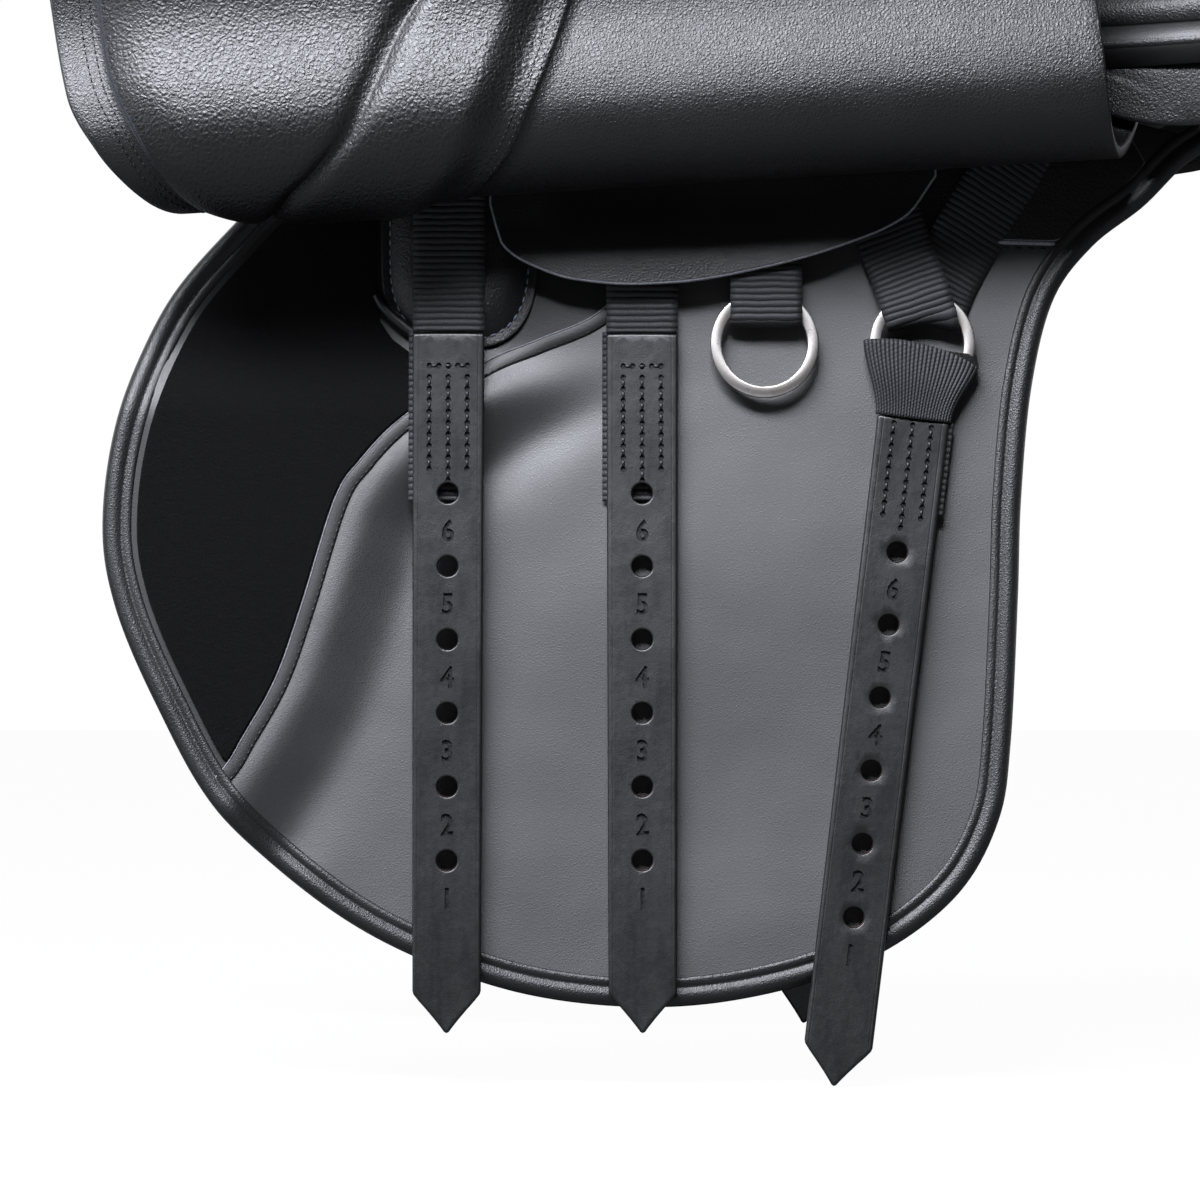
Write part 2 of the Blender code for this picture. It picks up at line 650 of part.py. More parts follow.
def make_sweat_flap(label, side):
    """Sweat flap of smooth leather, with a soft ridge up to the base of the removable block."""
    rim = moved_in(flap_edge, BINDING_WIDTH + GAP)
    top = [(104, 28), (80, FLAP_TOP_LEVEL - 4), (50, FLAP_TOP_LEVEL), (20, FLAP_TOP_LEVEL),
           (-10, FLAP_TOP_LEVEL), (-40, FLAP_TOP_LEVEL), (-70, FLAP_TOP_LEVEL), (-100, FLAP_TOP_LEVEL),
           (-140, FLAP_TOP_LEVEL), (-168, 34)]
    outline = rim + top
    patch, patch_fill = patch_points()
    fill = patch + patch_fill
    for z in (FLAP_TOP_BEND, 25.0):
        fill += [(x, z) for x in range(-165, 110, 25) if inside((x, z), outline) and clear_of((x, z), rim, 6)]
    for distance in (-9, 3, 9, 16, 23, 30, 40):
        line = moved_in(even_points(block_edge, 13), distance)
        fill += [p for p in line if inside(p, outline) and clear_of(p, outline, 6) and not inside(p, patch)
                 and clear_of(p, fill, 4)]
    spacing = 27.0
    for i in range(-10, 6):
        for j in range(-11, 2):
            p = (i * spacing + (j % 2) * spacing / 2, j * spacing * 0.9)
            if inside(p, outline) and not inside(p, patch) and clear_of(p, outline, 11) and clear_of(p, fill, 13):
                fill.append(p)

    def inner(x, z):
        return flap_face(z) + 0.9 * block_relief(x, z) - SWEAT_FLAP_THICK

    outline_body(f"sweat_flap_{label}", outline, flap_outer, inner, "smooth_leather", side, fill=fill)


def make_flap_binding(label, side):
    """Rolled binding round the sweat flap's edge."""
    centre = moved_in(flap_edge, BINDING_WIDTH / 2)
    points = [Vector((x, flap_outer(x, z) - SWEAT_FLAP_THICK / 2, z)) for x, z in centre]

    def section(k):
        ahead = (points[min(k + 1, len(points) - 1)] - points[max(k - 1, 0)]).normalized()
        flat = Vector((-ahead.z, 0, ahead.x)).normalized() * BINDING_WIDTH / 2
        return round_section(points[k], flat, Vector((0, BINDING_DEPTH / 2, 0)), 6)

    sweep_body(f"flap_binding_{label}", points, section, "binding_leather", side)


def patch_points():
    """Outline and inner points of the loop fastener on the block's base, inside the binding."""
    clear = BINDING_WIDTH + 7.0
    front = [p for p in moved_in(flap_edge, clear)
             if p[0] < -165 and p[1] > -196 and distance_to_block_edge(*p) < -4]
    rear = [p for p in moved_in(even_points(block_edge[3:], 12), -2.5)
            if p[1] > -200 and clear_of(p, flap_edge, clear)]
    outline = front[::2] + list(reversed(rear)) + [(-126, -54), (-151, -53), (-161.5, -43), (-161.5, -4)]
    fill = []
    for z in (-25, -50, -63, -76, -100, -122, -144, -166, -188):
        for i in range(-10, -5):
            p = (i * 25.0 + (z % 2) * 12, z)
            if inside(p, outline) and clear_of(p, outline, 8):
                fill.append(p)
    return outline, fill


def make_block_patch(label, side):
    """Field of loop fastener on the block's base."""
    outline, fill = patch_points()

    def under(x, z):
        return flap_outer(x, z) + 3 * GAP

    outline_body(f"block_patch_{label}", outline, lambda x, z: under(x, z) + FASTENER_THICK, under,
                 "loop_fastener", side, fill=fill)


POCKET_HALF_WIDTH = 25.5
POCKET_TOP, POCKET_BOTTOM = 9.0, -49.0


def make_point_pocket(label, side):
    """Padded leather pocket that holds the tree's point, open at its top."""
    outer, inner = [], []
    for i in range(7):
        z = blend(POCKET_TOP, POCKET_BOTTOM, i / 6)
        taper = 1.0 if i < 4 else (1.0, 0.93, 0.72)[i - 4]
        row_out, row_in = [], []
        for j in range(9):
            s = j / 4 - 1
            x = POINT_X + 1 + s * POCKET_HALF_WIDTH * taper
            face = flap_face(z)
            rim = abs(s) > 0.85 or i == 6
            swell = (1 - abs(s) ** 4) ** 0.5 if abs(s) < 1 else 0
            if i == 6:
                swell = 0
            if i == 5:
                swell *= 0.8
            row_out.append((x, face + blend(POCKET_WALL + 3 * GAP, POCKET_RISE, swell), z))
            row_in.append((x, face + (3 * GAP if rim else POCKET_RISE - POCKET_WALL), z))
        outer.append(row_out)
        inner.append(row_in)
    grid_body(f"point_pocket_{label}", outer, inner, "grained_leather", side)


WEB_X = {"front": POINT_X - 3.0, "middle": -69.5}
STRAP_TOP = -47.3
STRAP_TOP_OFF = {"front": POCKET_RISE + 2.6, "middle": 3.4}
STRAP_LOW_OFF = 2.5


def strap_back(which, z):
    """Back face of a girth strap, which lies from its webbing down to the binding."""
    t = (STRAP_TOP - z) / STRAP_LENGTH
    high = flap_face(STRAP_TOP) + STRAP_TOP_OFF[which]
    low = flap_face(STRAP_TOP - STRAP_LENGTH) + STRAP_LOW_OFF
    return blend(high, low, t)


def make_front_web(label, side, which):
    """Girth webbing from the tree's wing, over the sweat flap, to the top of its strap."""
    x = WEB_X[which]
    off = STRAP_TOP_OFF[which] - 0.2 + WEB_THICK / 2
    y_wing, z_wing = wing_face(x, 0.8)
    ny, nz = wing_normal(x)
    lift = WEB_THICK / 2 + 1.4
    path = [(x, y_wing + ny * lift, z_wing + nz * lift)]
    path.append((x, flap_face(FLAP_TOP_LEVEL) + 3.2, FLAP_TOP_LEVEL + 2.2))
    for z in (28.0, 12.0, -10.0, -30.0, STRAP_TOP + 0.7):
        here = blend(3.2, off, ramp(-z, -30, -8)) if which == "front" else off
        path.append((x, flap_face(z) + here, z))
    ribbon_body(f"{which}_web_{label}", path, [(1, 0, 0)] * len(path), [WEB_WIDTH] * len(path), WEB_THICK,
                "webbing", side, pivot=(x, 0, FLAP_TOP_LEVEL))


def strap_outline(length):
    """Strap along -Z from its square top at the origin, with a pointed end."""
    half, low = STRAP_WIDTH / 2, STRAP_TIP_WIDTH / 2
    shoulder = length - STRAP_TIP
    return [(-half, 0), (-low, -shoulder), (-low * 0.82, -shoulder - STRAP_TIP * 0.42),
            (-low * 0.42, -shoulder - STRAP_TIP * 0.8), (0, -length), (low * 0.42, -shoulder - STRAP_TIP * 0.8),
            (low * 0.82, -shoulder - STRAP_TIP * 0.42), (low, -shoulder), (half, 0)]


def strap_holes():
    holes = []
    for k in range(HOLE_COUNT):
        z = -FIRST_HOLE - k * HOLE_PITCH
        holes.append([(HOLE_DIAMETER / 2 * math.cos(a), z + HOLE_DIAMETER / 2 * math.sin(a))
                      for a in (2 * math.pi * n / 12 for n in range(12))])
    return holes


def placed(points, x, z, tilt=0.0):
    """Strap points moved to their place, turned by a tilt in the XZ plane."""
    c, s = math.cos(tilt), math.sin(tilt)
    return [(x + px * c + pz * s, z - px * s + pz * c) for px, pz in points]


def make_strap(label, side, which):
    """Girth strap of thick leather with six buckle holes and a pointed end."""
    x = WEB_X[which]
    outline = placed(strap_outline(STRAP_LENGTH), x, STRAP_TOP)
    holes = [placed(hole, x, STRAP_TOP) for hole in strap_holes()]
    pivot = on_side((x, strap_back(which, STRAP_TOP) + STRAP_THICK, STRAP_TOP), side)
    outline_body(f"{which}_strap_{label}", outline, lambda px, pz: strap_back(which, pz) + STRAP_THICK,
                 lambda px, pz: strap_back(which, pz), "strap_leather", side, holes=holes, pivot=pivot)


GUARD_TOP = 24.0
GUARD_OFF = 6.2
guard_low = smooth([(-123, -2), (-118.5, -16.5), (-108, -23.8), (-93, -28.8), (-74, -30.5), (-57.5, -29.8),
                    (-24, -23.9), (3, -15.8), (23, -6.3), (34, 8.4)])


def guard_face(x, z):
    """Inner face of the buckle guard: it stands out over the webbing loops along its lower edge."""
    low = GUARD_OFF + 4.6 * ramp(-z, -4, 24)
    return flap_face(z) + blend(low, max(low, POCKET_RISE + 1.2), ramp(-x, 92, 106))


def make_buckle_guard(label, side):
    """Half-moon of soft leather over the girth buckles. It lifts from its stitched top edge."""
    outer, inner = [], []
    for k in range(13):
        x = blend(-122.5, 33.0, k / 12)
        low = guard_low(x)
        row_out, row_in = [], []
        for t in (0.0, 0.3, 0.6, 0.85, 1.0):
            z = blend(GUARD_TOP, low, t)
            row_in.append((x, guard_face(x, z), z))
            row_out.append((x, guard_face(x, z) + GUARD_THICK, z))
        outer.append(row_out)
        inner.append(row_in)
    pivot = on_side((0, guard_face(0, GUARD_TOP) + GUARD_THICK, GUARD_TOP), side)
    grid_body(f"buckle_guard_{label}", outer, inner, "grained_leather", side, pivot=pivot)


RING_OFF = 6.1               # middle plane of the rings, off the sweat flap
GIRTH_RING_X, GIRTH_RING_Z = 28.4, -50.9
FREE_RING_X, FREE_RING_Z = -26.7, -50.9


def ring_radius(outside):
    return (outside - RING_WIRE) / 2


def make_ring(name, side, x, z, outside, wire, out_at, pivot):
    """Turned ring of round wire. out_at gives how far out its middle plane lies at a height."""
    radius = (outside - wire) / 2
    path = [Vector((x + radius * math.cos(a), out_at(z + radius * math.sin(a)), z + radius * math.sin(a)))
            for a in (2 * math.pi * k / 28 for k in range(28))]
    centre = Vector((x, out_at(z), z))
    square = Vector((0, 1, out_at(z) - out_at(z + 1))).normalized() * wire / 2

    def section(k):
        return round_section(path[k], (path[k] - centre).normalized() * wire / 2, square, 6)

    sweep_body(name, path, section, "steel", side, True, on_side(pivot, side))


def loop_path(x_front, x_back, wire_z, tail):
    """Webbing round a ring's wire: down in front of it, under it and up behind it, then a tail."""
    turn = RING_WIRE / 2 + RING_LOOP_PLAY + WEB_THICK / 2
    points = []
    for k in range(7):
        angle = math.pi * k / 6
        z = wire_z - turn * math.sin(angle)
        points.append((blend(x_front, x_back, k / 6), flap_face(z) + RING_OFF + turn * math.cos(angle), z))
    points.append((x_back + tail[0], flap_face(wire_z + tail[1]) + RING_OFF - turn, wire_z + tail[1]))
    return points


def make_tab_web(label, side):
    """Webbing tab that carries the free ring under the buckle guard."""
    wire_z = FREE_RING_Z + ring_radius(FREE_RING_OUTSIDE)
    x = FREE_RING_X + 0.6
    path = [(x, flap_face(z) + off, z) for z, off in ((36.0, 2.6), (24.0, 1.8), (0.0, 2.2), (-16.0, 4.2))]
    path.append((x, flap_face(-25) + 9.4, -25.0))
    path += loop_path(x, x, wire_z, (0, 7.5))
    widths = [WEB_WIDTH] * 4 + [20.0] + [RING_LOOP_WIDTH] * (len(path) - 5)
    ribbon_body(f"tab_web_{label}", path, [(1, 0, 0)] * len(path), widths, WEB_THICK, "webbing", side)


def along_flap(angle, z):
    """Direction across a web that crosses the sweat flap at an angle, lying flat on the leather."""
    slope = (flap_face(z + 2) - flap_face(z - 2)) / 4
    return (math.cos(angle), math.sin(angle) * slope, math.sin(angle))


def make_v_web(label, side):
    """Webbing threaded through the girth ring: one arm in front of it and one behind."""
    wire_z = GIRTH_RING_Z + ring_radius(GIRTH_RING_OUTSIDE)
    turn = RING_WIRE / 2 + RING_LOOP_PLAY + WEB_THICK / 2
    front = [(1.5, 3.4, 33.0), (6.5, 3.0, 22.0), (13.0, 2.4, 2.0), (20.0, 4.4, -18.0),
             (24.5, RING_OFF + turn - 1, -27.0)]
    rear = [(46.0, 2.2, -10.0), (57.0, 2.4, 8.0), (68.0, 3.4, 24.0), (72.0, 3.6, 30.0)]
    front_path = [(x, flap_face(z) + off, z) for x, off, z in front]
    rear_path = [(x, flap_face(z) + off, z) for x, off, z in rear]
    loop = loop_path(GIRTH_RING_X - 1.5, GIRTH_RING_X + 1.5, wire_z, (6.0, 11.0))
    path = front_path + loop + rear_path
    lean_front, lean_rear = math.atan2(24.5, 64), -math.atan2(28, 43)
    across = [along_flap(lean_front, z) for x, y, z in front_path]
    across += [along_flap(blend(lean_front * 0.6, lean_rear * 0.6, k / 7), z) for k, (x, y, z) in enumerate(loop)]
    across += [along_flap(lean_rear, z) for x, y, z in rear_path]
    widths = [WEB_WIDTH] * 4 + [18.0] + [RING_LOOP_WIDTH] * 7 + [18.0] + [WEB_WIDTH] * 4
    ribbon_body(f"v_web_{label}", path, across, widths, WEB_THICK, "webbing", side)


REAR_TILT = math.radians(7.2)
SLEEVE_TOP_DROP = 1.0        # sleeve's top edge below the ring's centre
REAR_STRAP_LENGTH = 232.0
SLEEVE_TOTAL = RING_WIRE + 2 * 0.8 + 2 * SLEEVE_WALL


def ring_out(z=GIRTH_RING_Z):
    return flap_face(z) + RING_OFF


def rear_out(distance):
    """Middle of the rear strap at a distance below the ring's centre: it leans in to the sweat flap."""
    low = GIRTH_RING_Z - (SLEEVE_TOP_DROP + SLEEVE_DEPTH + REAR_STRAP_LENGTH) * math.cos(REAR_TILT)
    end = flap_face(low) + STRAP_LOW_OFF + STRAP_THICK / 2
    total = SLEEVE_TOP_DROP + SLEEVE_DEPTH + REAR_STRAP_LENGTH
    return blend(ring_out(), end, distance / total)


def rear_point(across, distance, out):
    """A point beside the rear strap's centre line, at a distance below the ring's centre."""
    c, s = math.cos(REAR_TILT), math.sin(REAR_TILT)
    return (GIRTH_RING_X + across * c - distance * s, rear_out(distance) + out,
            GIRTH_RING_Z - across * s - distance * c)


def make_ring_sleeve(label, side):
    """Webbing sleeve, flared to take the lower half of the ring, that holds the strap's turned end."""
    half = SLEEVE_TOTAL / 2
    outer_rows = ((SLEEVE_TOP_DROP, SLEEVE_TOP_WIDTH, half), (SLEEVE_TOP_DROP + 17.5, 33.0, half),
                  (SLEEVE_TOP_DROP + SLEEVE_DEPTH, WEB_WIDTH + 1, STRAP_THICK / 2 + 1.0))
    rings = []
    for distance, width, depth in outer_rows:
        rings.append([rear_point(a * width / 2, distance, o * depth)
                      for a, o in ((-1, 0), (-0.8, -1), (0.8, -1), (1, 0), (0.8, 1), (-0.8, 1))])
    room = half - SLEEVE_WALL
    for distance, width in ((SLEEVE_TOP_DROP + 20.2, 10.0), (SLEEVE_TOP_DROP + 16.5, 25.5),
                            (SLEEVE_TOP_DROP + 10.0, 37.0 - 2.6), (SLEEVE_TOP_DROP, SLEEVE_TOP_WIDTH - 3.0)):
        rings.append([rear_point(a * width / 2, distance, o * room)
                      for a, o in ((-1, 0), (-0.93, -1), (0.93, -1), (1, 0), (0.93, 1), (-0.93, 1))])
    n = 6
    points = [on_side(p, side) for ring in rings for p in ring]
    faces = []
    order = [0, 1, 2]
    for a, b in zip(order, order[1:]):
        faces += [[a * n + j, a * n + (j + 1) % n, b * n + (j + 1) % n, b * n + j] for j in range(n)]
    faces.append([2 * n + j for j in range(n)])
    cavity = [3, 4, 5, 6]
    for a, b in zip(cavity, cavity[1:]):
        faces += [[a * n + j, a * n + (j + 1) % n, b * n + (j + 1) % n, b * n + j] for j in range(n)]
    faces.append([3 * n + j for j in range(n)])
    faces += [[j, (j + 1) % n, 6 * n + (j + 1) % n, 6 * n + j] for j in range(n)]
    pivot = on_side((GIRTH_RING_X, ring_out(), GIRTH_RING_Z), side)
    make_object(f"ring_sleeve_{label}", points, faces, "webbing", pivot)


def make_rear_strap(label, side):
    """Rear girth strap, which swings about its ring."""
    top = SLEEVE_TOP_DROP + SLEEVE_DEPTH + GAP
    outline = strap_outline(REAR_STRAP_LENGTH - GAP)
    lift = FIRST_HOLE - 47.0
    holes = [[(px, pz + lift) for px, pz in hole] for hole in strap_holes()]
    c, s = math.cos(REAR_TILT), math.sin(REAR_TILT)

    def out_at(x, z):
        distance = -((x - GIRTH_RING_X) * s + (z - GIRTH_RING_Z) * c)
        return rear_out(distance)

    def turned(points):
        return [(GIRTH_RING_X + px * c - (top - pz) * s, GIRTH_RING_Z - px * s - (top - pz) * c)
                for px, pz in points]

    pivot = on_side((GIRTH_RING_X, ring_out(), GIRTH_RING_Z), side)
    outline_body(f"rear_strap_{label}", turned(outline), lambda x, z: out_at(x, z) + STRAP_THICK / 2,
                 lambda x, z: out_at(x, z) - STRAP_THICK / 2, "strap_leather", side,
                 holes=[turned(hole) for hole in holes], pivot=pivot)


# Outer flap. u runs along the fold line, towards the rear, and v down the leather from its top.
FLAP_ORIGIN_OUT, FLAP_ORIGIN_UP = 104.0, 62.0
TOP_HEADING = math.radians(28)       # lean of the flap under the skirt
FOLDED_HEADING = math.radians(188)   # the front leg of the fold leans in over the seat
OVER_SEAT_TURN = math.radians(65)
FOLD_START = 46.1
FRONT_LEG = 70.0
FLAP_LENGTH = 359.0
HANG_HEADING = math.radians(5)       # lean at the lower edge once the flap hangs
HANG_MIDDLE = math.radians(12)
flap_front = smooth([(0, -160), (36, -205), (75, -233.7), (98, -250), (112, -259.3), (132, -268.3), (170, -273),
                     (199, -275), (224, -271), (276, -248), (321, -204), (347, -150), (356, -120), (359, -100)])
flap_rear = smooth([(0, 108), (42, 103), (75, 93.4), (102, 88.8), (149, 86.3), (204, 76), (254, 62), (303, 48),
                    (334, 21), (350, -20), (357, -60), (359, -88)])
PAD_TOP, PAD_LOW = 62.0, 305.0
pad_front = smooth([(62, -196), (75, -215.7), (90, -230), (113, -243.8), (139, -253.9), (160, -256.3),
                    (200, -257), (240, -243), (275, -218), (305, -175)])
pad_rear = smooth([(62, -150), (75, -136), (89, -127.2), (104, -116.7), (116, -110.4), (133, -102.3),
                   (160, -92), (200, -82), (240, -84), (275, -100), (305, -140)])
pad_channel = smooth([(62, -208), (92, -194.2), (103, -183.2), (115, -171.6), (130, -163.3), (150, -153.1),
                      (163, -143.9), (200, -122), (240, -112), (275, -130), (305, -150)])
CHANNEL_HALF = 5.0
PAD_END_LEAN = 0.06          # padding leans back from each bend, so that the flap can hang straight


def pad_height(u, v):
    """Knee padding under the flap: crowned, with a stitched channel across it."""
    if not PAD_TOP < v < PAD_LOW:
        return 0.0
    front, rear = pad_front(v), pad_rear(v)
    if not front < u < rear:
        return 0.0
    edge = ramp(min(u - front, rear - u), 0, 15) * ramp(min(v - PAD_TOP, PAD_LOW - v), 0, 18)
    channel = 1 - 0.55 * math.exp(-((u - pad_channel(v)) / CHANNEL_HALF) ** 2)
    return KNEE_PAD_THICK * edge * channel


OFF_REAR_TRIM = 17.5         # nothing of the off flap shows behind the sweat flap


def off_rear_trim(v):
    return OFF_REAR_TRIM * ramp(v, 60, 150) * (1 - ramp(v, 180, 290))


def flap_columns(v, rear_trim=0.0):
    """Places across the flap that its grid follows: its edges, the pad and the pad's channel."""
    front, rear = flap_front(v), flap_rear(v) - rear_trim
    marks = sorted([pad_front(v), pad_front(v) + 15, pad_channel(v) - 13, pad_channel(v), pad_channel(v) + 13,
                    pad_rear(v) - 15, pad_rear(v)])
    step = min(2.0, (rear - front) / 12)
    columns = [front]
    for k, mark in enumerate(marks):
        columns.append(min(max(mark, columns[-1] + step), rear - step * (len(marks) + 1 - k)))
    return columns + [blend(columns[-1], rear, 0.5), rear]


def in_flap_frame(u, out, up):
    """A point from the flap's tilted frame: u along the fold, out from the middle, up square to both."""
    return (u * math.cos(FLAP_TILT) - up * math.sin(FLAP_TILT), out,
            FLAP_ORIGIN_UP + u * math.sin(FLAP_TILT) + up * math.cos(FLAP_TILT))


def fold_joints():
    """Where the folded flap bends: distance down the leather and the turn there."""
    fold_turn = FOLDED_HEADING - TOP_HEADING
    fold_length = FOLD_RADIUS * fold_turn
    joints = [(FOLD_START + fold_length * (k + 0.5) / FOLD_STEPS, fold_turn / FOLD_STEPS)
              for k in range(FOLD_STEPS)]
    over_start = FOLD_START + fold_length + FRONT_LEG
    over_length = OVER_SEAT_RADIUS * OVER_SEAT_TURN
    joints += [(over_start + over_length * (k + 0.5) / OVER_SEAT_STEPS, OVER_SEAT_TURN / OVER_SEAT_STEPS)
               for k in range(OVER_SEAT_STEPS)]
    return joints


def strip_frame(origin, heading, along, off):
    """Point of a strip: along its heading, and off its underside. The leather lies on the minus side."""
    return (origin[0] + along * math.sin(heading) - off * math.cos(heading),
            origin[1] - along * math.cos(heading) - off * math.sin(heading))


def folded_strips():
    """Origin, heading and reach of each straight strip of the folded flap, from its top downwards."""
    strips = []
    origin, heading, start, turn_in = (FLAP_ORIGIN_OUT, 0.0), TOP_HEADING, 0.0, 0.0
    for reach, turn in fold_joints() + [(FLAP_LENGTH, 0.0)]:
        strips.append({"origin": origin, "heading": heading, "start": start, "end": reach,
                       "turn_in": turn_in, "turn_out": turn})
        length = reach - start
        origin = (origin[0] + length * math.sin(heading), origin[1] - length * math.cos(heading))
        heading += turn
        start, turn_in = reach, turn
    return strips


def strip_rows(strip, rows):
    """Grid rows of a strip. Its ends are square under the leather and mitred through it."""
    outer, inner = [], []
    start, end = strip["start"] + GAP / 2, strip["end"] - GAP / 2
    if strip["turn_out"] == 0:
        end = strip["end"]
    for k in range(rows + 1):
        t = k / rows
        v = blend(start, end, t)
        cut = blend(math.tan(strip["turn_in"] / 2), -math.tan(strip["turn_out"] / 2), t) * FLAP_THICK
        if 0 < k < rows:
            cut = 0.0
        row_under, row_grain = [], []
        for u in flap_columns(v):
            pad = pad_height(u, v)
            lean = PAD_END_LEAN * pad * ((k == 0) - (k == rows and strip["turn_out"] != 0))
            out, up = strip_frame(strip["origin"], strip["heading"], v - strip["start"] + lean, pad)
            row_under.append(in_flap_frame(u, out, up))
            out, up = strip_frame(strip["origin"], strip["heading"], v - strip["start"] + cut, -FLAP_THICK)
            row_grain.append(in_flap_frame(u, out, up))
        outer.append(row_under)
        inner.append(row_grain)
    return outer, inner


ROOT_SHARE = 0.6             # flap's root on the wing, below the stirrup bar's plate
SHOULDER = 30.0              # from here down, the flap's top lies in its own plane
root_behind = smooth([(-30, 0), (0, 96), (20, 100.5), (40, 104), (104, 105)])
root_behind_up = smooth([(-30, 0), (0, 48), (20, 44.5), (40, 42), (104, 44)])


def flap_root(x):
    """Where the flap's top starts: on the wing in front, and under the seat's rim behind it."""
    at = min(x, WING_REAR)
    y, z = wing_face(at, ROOT_SHARE)
    ny, nz = wing_normal(at)
    front = (y + ny * 1.6, z + nz * 1.6)
    if x <= WING_REAR:
        return front
    if x < 0:
        t = (x - WING_REAR) / -WING_REAR
        return blend(front[0], 96.0, t), blend(front[1], 48.0, t)
    return root_behind(x), root_behind_up(x)


def make_flap_top(label, side):
    """Top of the outer flap, from the tree down to the first bend, under the skirt."""
    first = folded_strips()[0]
    end = first["end"] - GAP / 2
    grain, under = [], []
    columns = 13
    for step in range(6):
        row_under, row_grain = [], []
        for j in range(columns):
            share = j / (columns - 1)
            v = SHOULDER if step < 3 else blend(SHOULDER, end, (step - 3) / 2)
            u = blend(flap_front(v), flap_rear(v), share)
            out, up = strip_frame(first["origin"], TOP_HEADING, v, 0)
            low = in_flap_frame(u, out, up)
            cut = -math.tan(first["turn_out"] / 2) * FLAP_THICK if step == 5 else 0
            out, up = strip_frame(first["origin"], TOP_HEADING, v + cut, -FLAP_THICK)
            low_grain = in_flap_frame(u, out, up)
            if step < 3:
                t = (0.0, 0.35, 0.7)[step]
                x = blend(-158, 104, share)
                y, z = flap_root(x)
                bulge = smooth([(-160, 7), (-110, 6), (-60, 3), (0, 0.5)])(x) * math.sin(math.pi * t)
                low = (blend(x, low[0], t), blend(y, low[1], t), blend(z, low[2], t) + bulge)
                lean = blend(math.radians(68), TOP_HEADING, t)
                low_grain = (low[0], low[1] + FLAP_THICK * math.cos(lean), low[2] + FLAP_THICK * math.sin(lean))
            row_under.append(low)
            row_grain.append(low_grain)
        grain.append(row_grain)
        under.append(row_under)
    grid_body(f"flap_top_{label}", grain, under, "smooth_leather", side)


def make_folded_flap():
    """The near flap's strips. Each turns about the fold line at its upper end."""
    side = SIDES["near"]
    for k, strip in enumerate(folded_strips()[1:], start=1):
        name = f"flap_bend_near_{k}" if k < FOLD_STEPS else f"flap_leaf_near_{k - FOLD_STEPS + 1}"
        length = strip["end"] - strip["start"]
        outer, inner = strip_rows(strip, max(1, round(length / 20)))
        pivot = on_side(in_flap_frame(0, *strip["origin"]), side)
        grid_body(name, outer, inner, "smooth_leather", side, pivot=pivot)


def hanging_heading(v):
    first, last = fold_joints()[0][0], fold_joints()[-1][0]
    fold_end = fold_joints()[FOLD_STEPS - 1][0]
    if v < fold_end:
        return blend(TOP_HEADING, HANG_MIDDLE, ramp(v, first, fold_end))
    return blend(HANG_MIDDLE, HANG_HEADING, ramp(v, fold_end, last))


def make_hanging_flap():
    """The off flap hangs down, and lifts about a line just under the skirt."""
    side = SIDES["off"]
    first = folded_strips()[0]
    start = first["end"]
    hinge = strip_frame(first["origin"], TOP_HEADING, start, -FLAP_THICK)
    outer, inner = [], []
    origin = strip_frame(first["origin"], TOP_HEADING, start, 0)
    rows = [start + GAP / 2, 68, 84, 104, 125, 150, 175, 200, 225, 250, 272, 292, 308, 322, 334, 344, 352, 359]
    position, v_now = origin, start
    for v in rows:
        heading = hanging_heading((v + v_now) / 2)
        position = strip_frame(position, heading, v - v_now, 0)
        v_now = v
        here = hanging_heading(v)
        row_under, row_grain = [], []
        for u in flap_columns(v, off_rear_trim(v)):
            out, up = strip_frame(position, here, 0, pad_height(u, v))
            row_under.append(in_flap_frame(u, out, up))
            out, up = strip_frame(position, here, 0, -FLAP_THICK)
            row_grain.append(in_flap_frame(u, out, up))
        outer.append(row_grain)
        inner.append(row_under)
    grid_body("flap_off", outer, inner, "smooth_leather", side, pivot=on_side(in_flap_frame(0, *hinge), side))


BAR_X_FRONT = -112.0
BAR_OUT = 128.0
BAR_UP = 50.0


def make_stirrup_bar(label, side):
    """Forged bar: a plate riveted to the tree's wing, an arm out over the flap, and the bar itself."""
    x0, x1 = BAR_X_FRONT, BAR_X_FRONT + BAR_LENGTH
    plate_low, plate_high = 0.53, 0.3
    half = BAR_THICK / 2

    def on_wing(x, t, lift):
        y, z = wing_face(x, t)
        ny, nz = wing_normal(x)
        return (x, y + ny * lift, z + nz * lift)

    foot = Vector(on_wing(x0 + 14, 0.41, GAP + half + 0.8))
    path = [foot, foot + Vector((-8, 14, 3)), Vector((x0, BAR_OUT - 14, BAR_UP + 10)),
            Vector((x0 + 1, BAR_OUT + half - 1, BAR_UP + 4)), Vector((x0 + 7, BAR_OUT + half, BAR_UP)),
            Vector((x1 - 10, BAR_OUT + half, BAR_UP)), Vector((x1, BAR_OUT + half, BAR_UP))]
    across = [(0.2, -0.3, 1), (0.4, -0.3, 1), (0.4, 0.2, 1), (0.3, 0.4, 1), (0, 0, 1), (0, 0, 1), (0, 0, 1)]
    widths = [BAR_HEIGHT] * len(path)
    bar = ribbon_body(f"stirrup_bar_{label}", path, across, widths, BAR_THICK, "steel", side)
    top = [[on_wing(x, t, GAP + 0.3 + BAR_PLATE_THICK) for t in (plate_high, plate_low)] for x in (-105, -70)]
    under = [[on_wing(x, t, GAP + 0.3) for t in (plate_high, plate_low)] for x in (-105, -70)]
    plate = grid_body(f"bar_plate_{label}", top, under, "steel", side)
    plate.hide_render = True
    plate.display_type = "WIRE"
    joined = bar.modifiers.new("plate", "BOOLEAN")
    joined.operation = "UNION"
    joined.object = plate
    joined.solver = "EXACT"


CATCH_LENGTH = 13.0


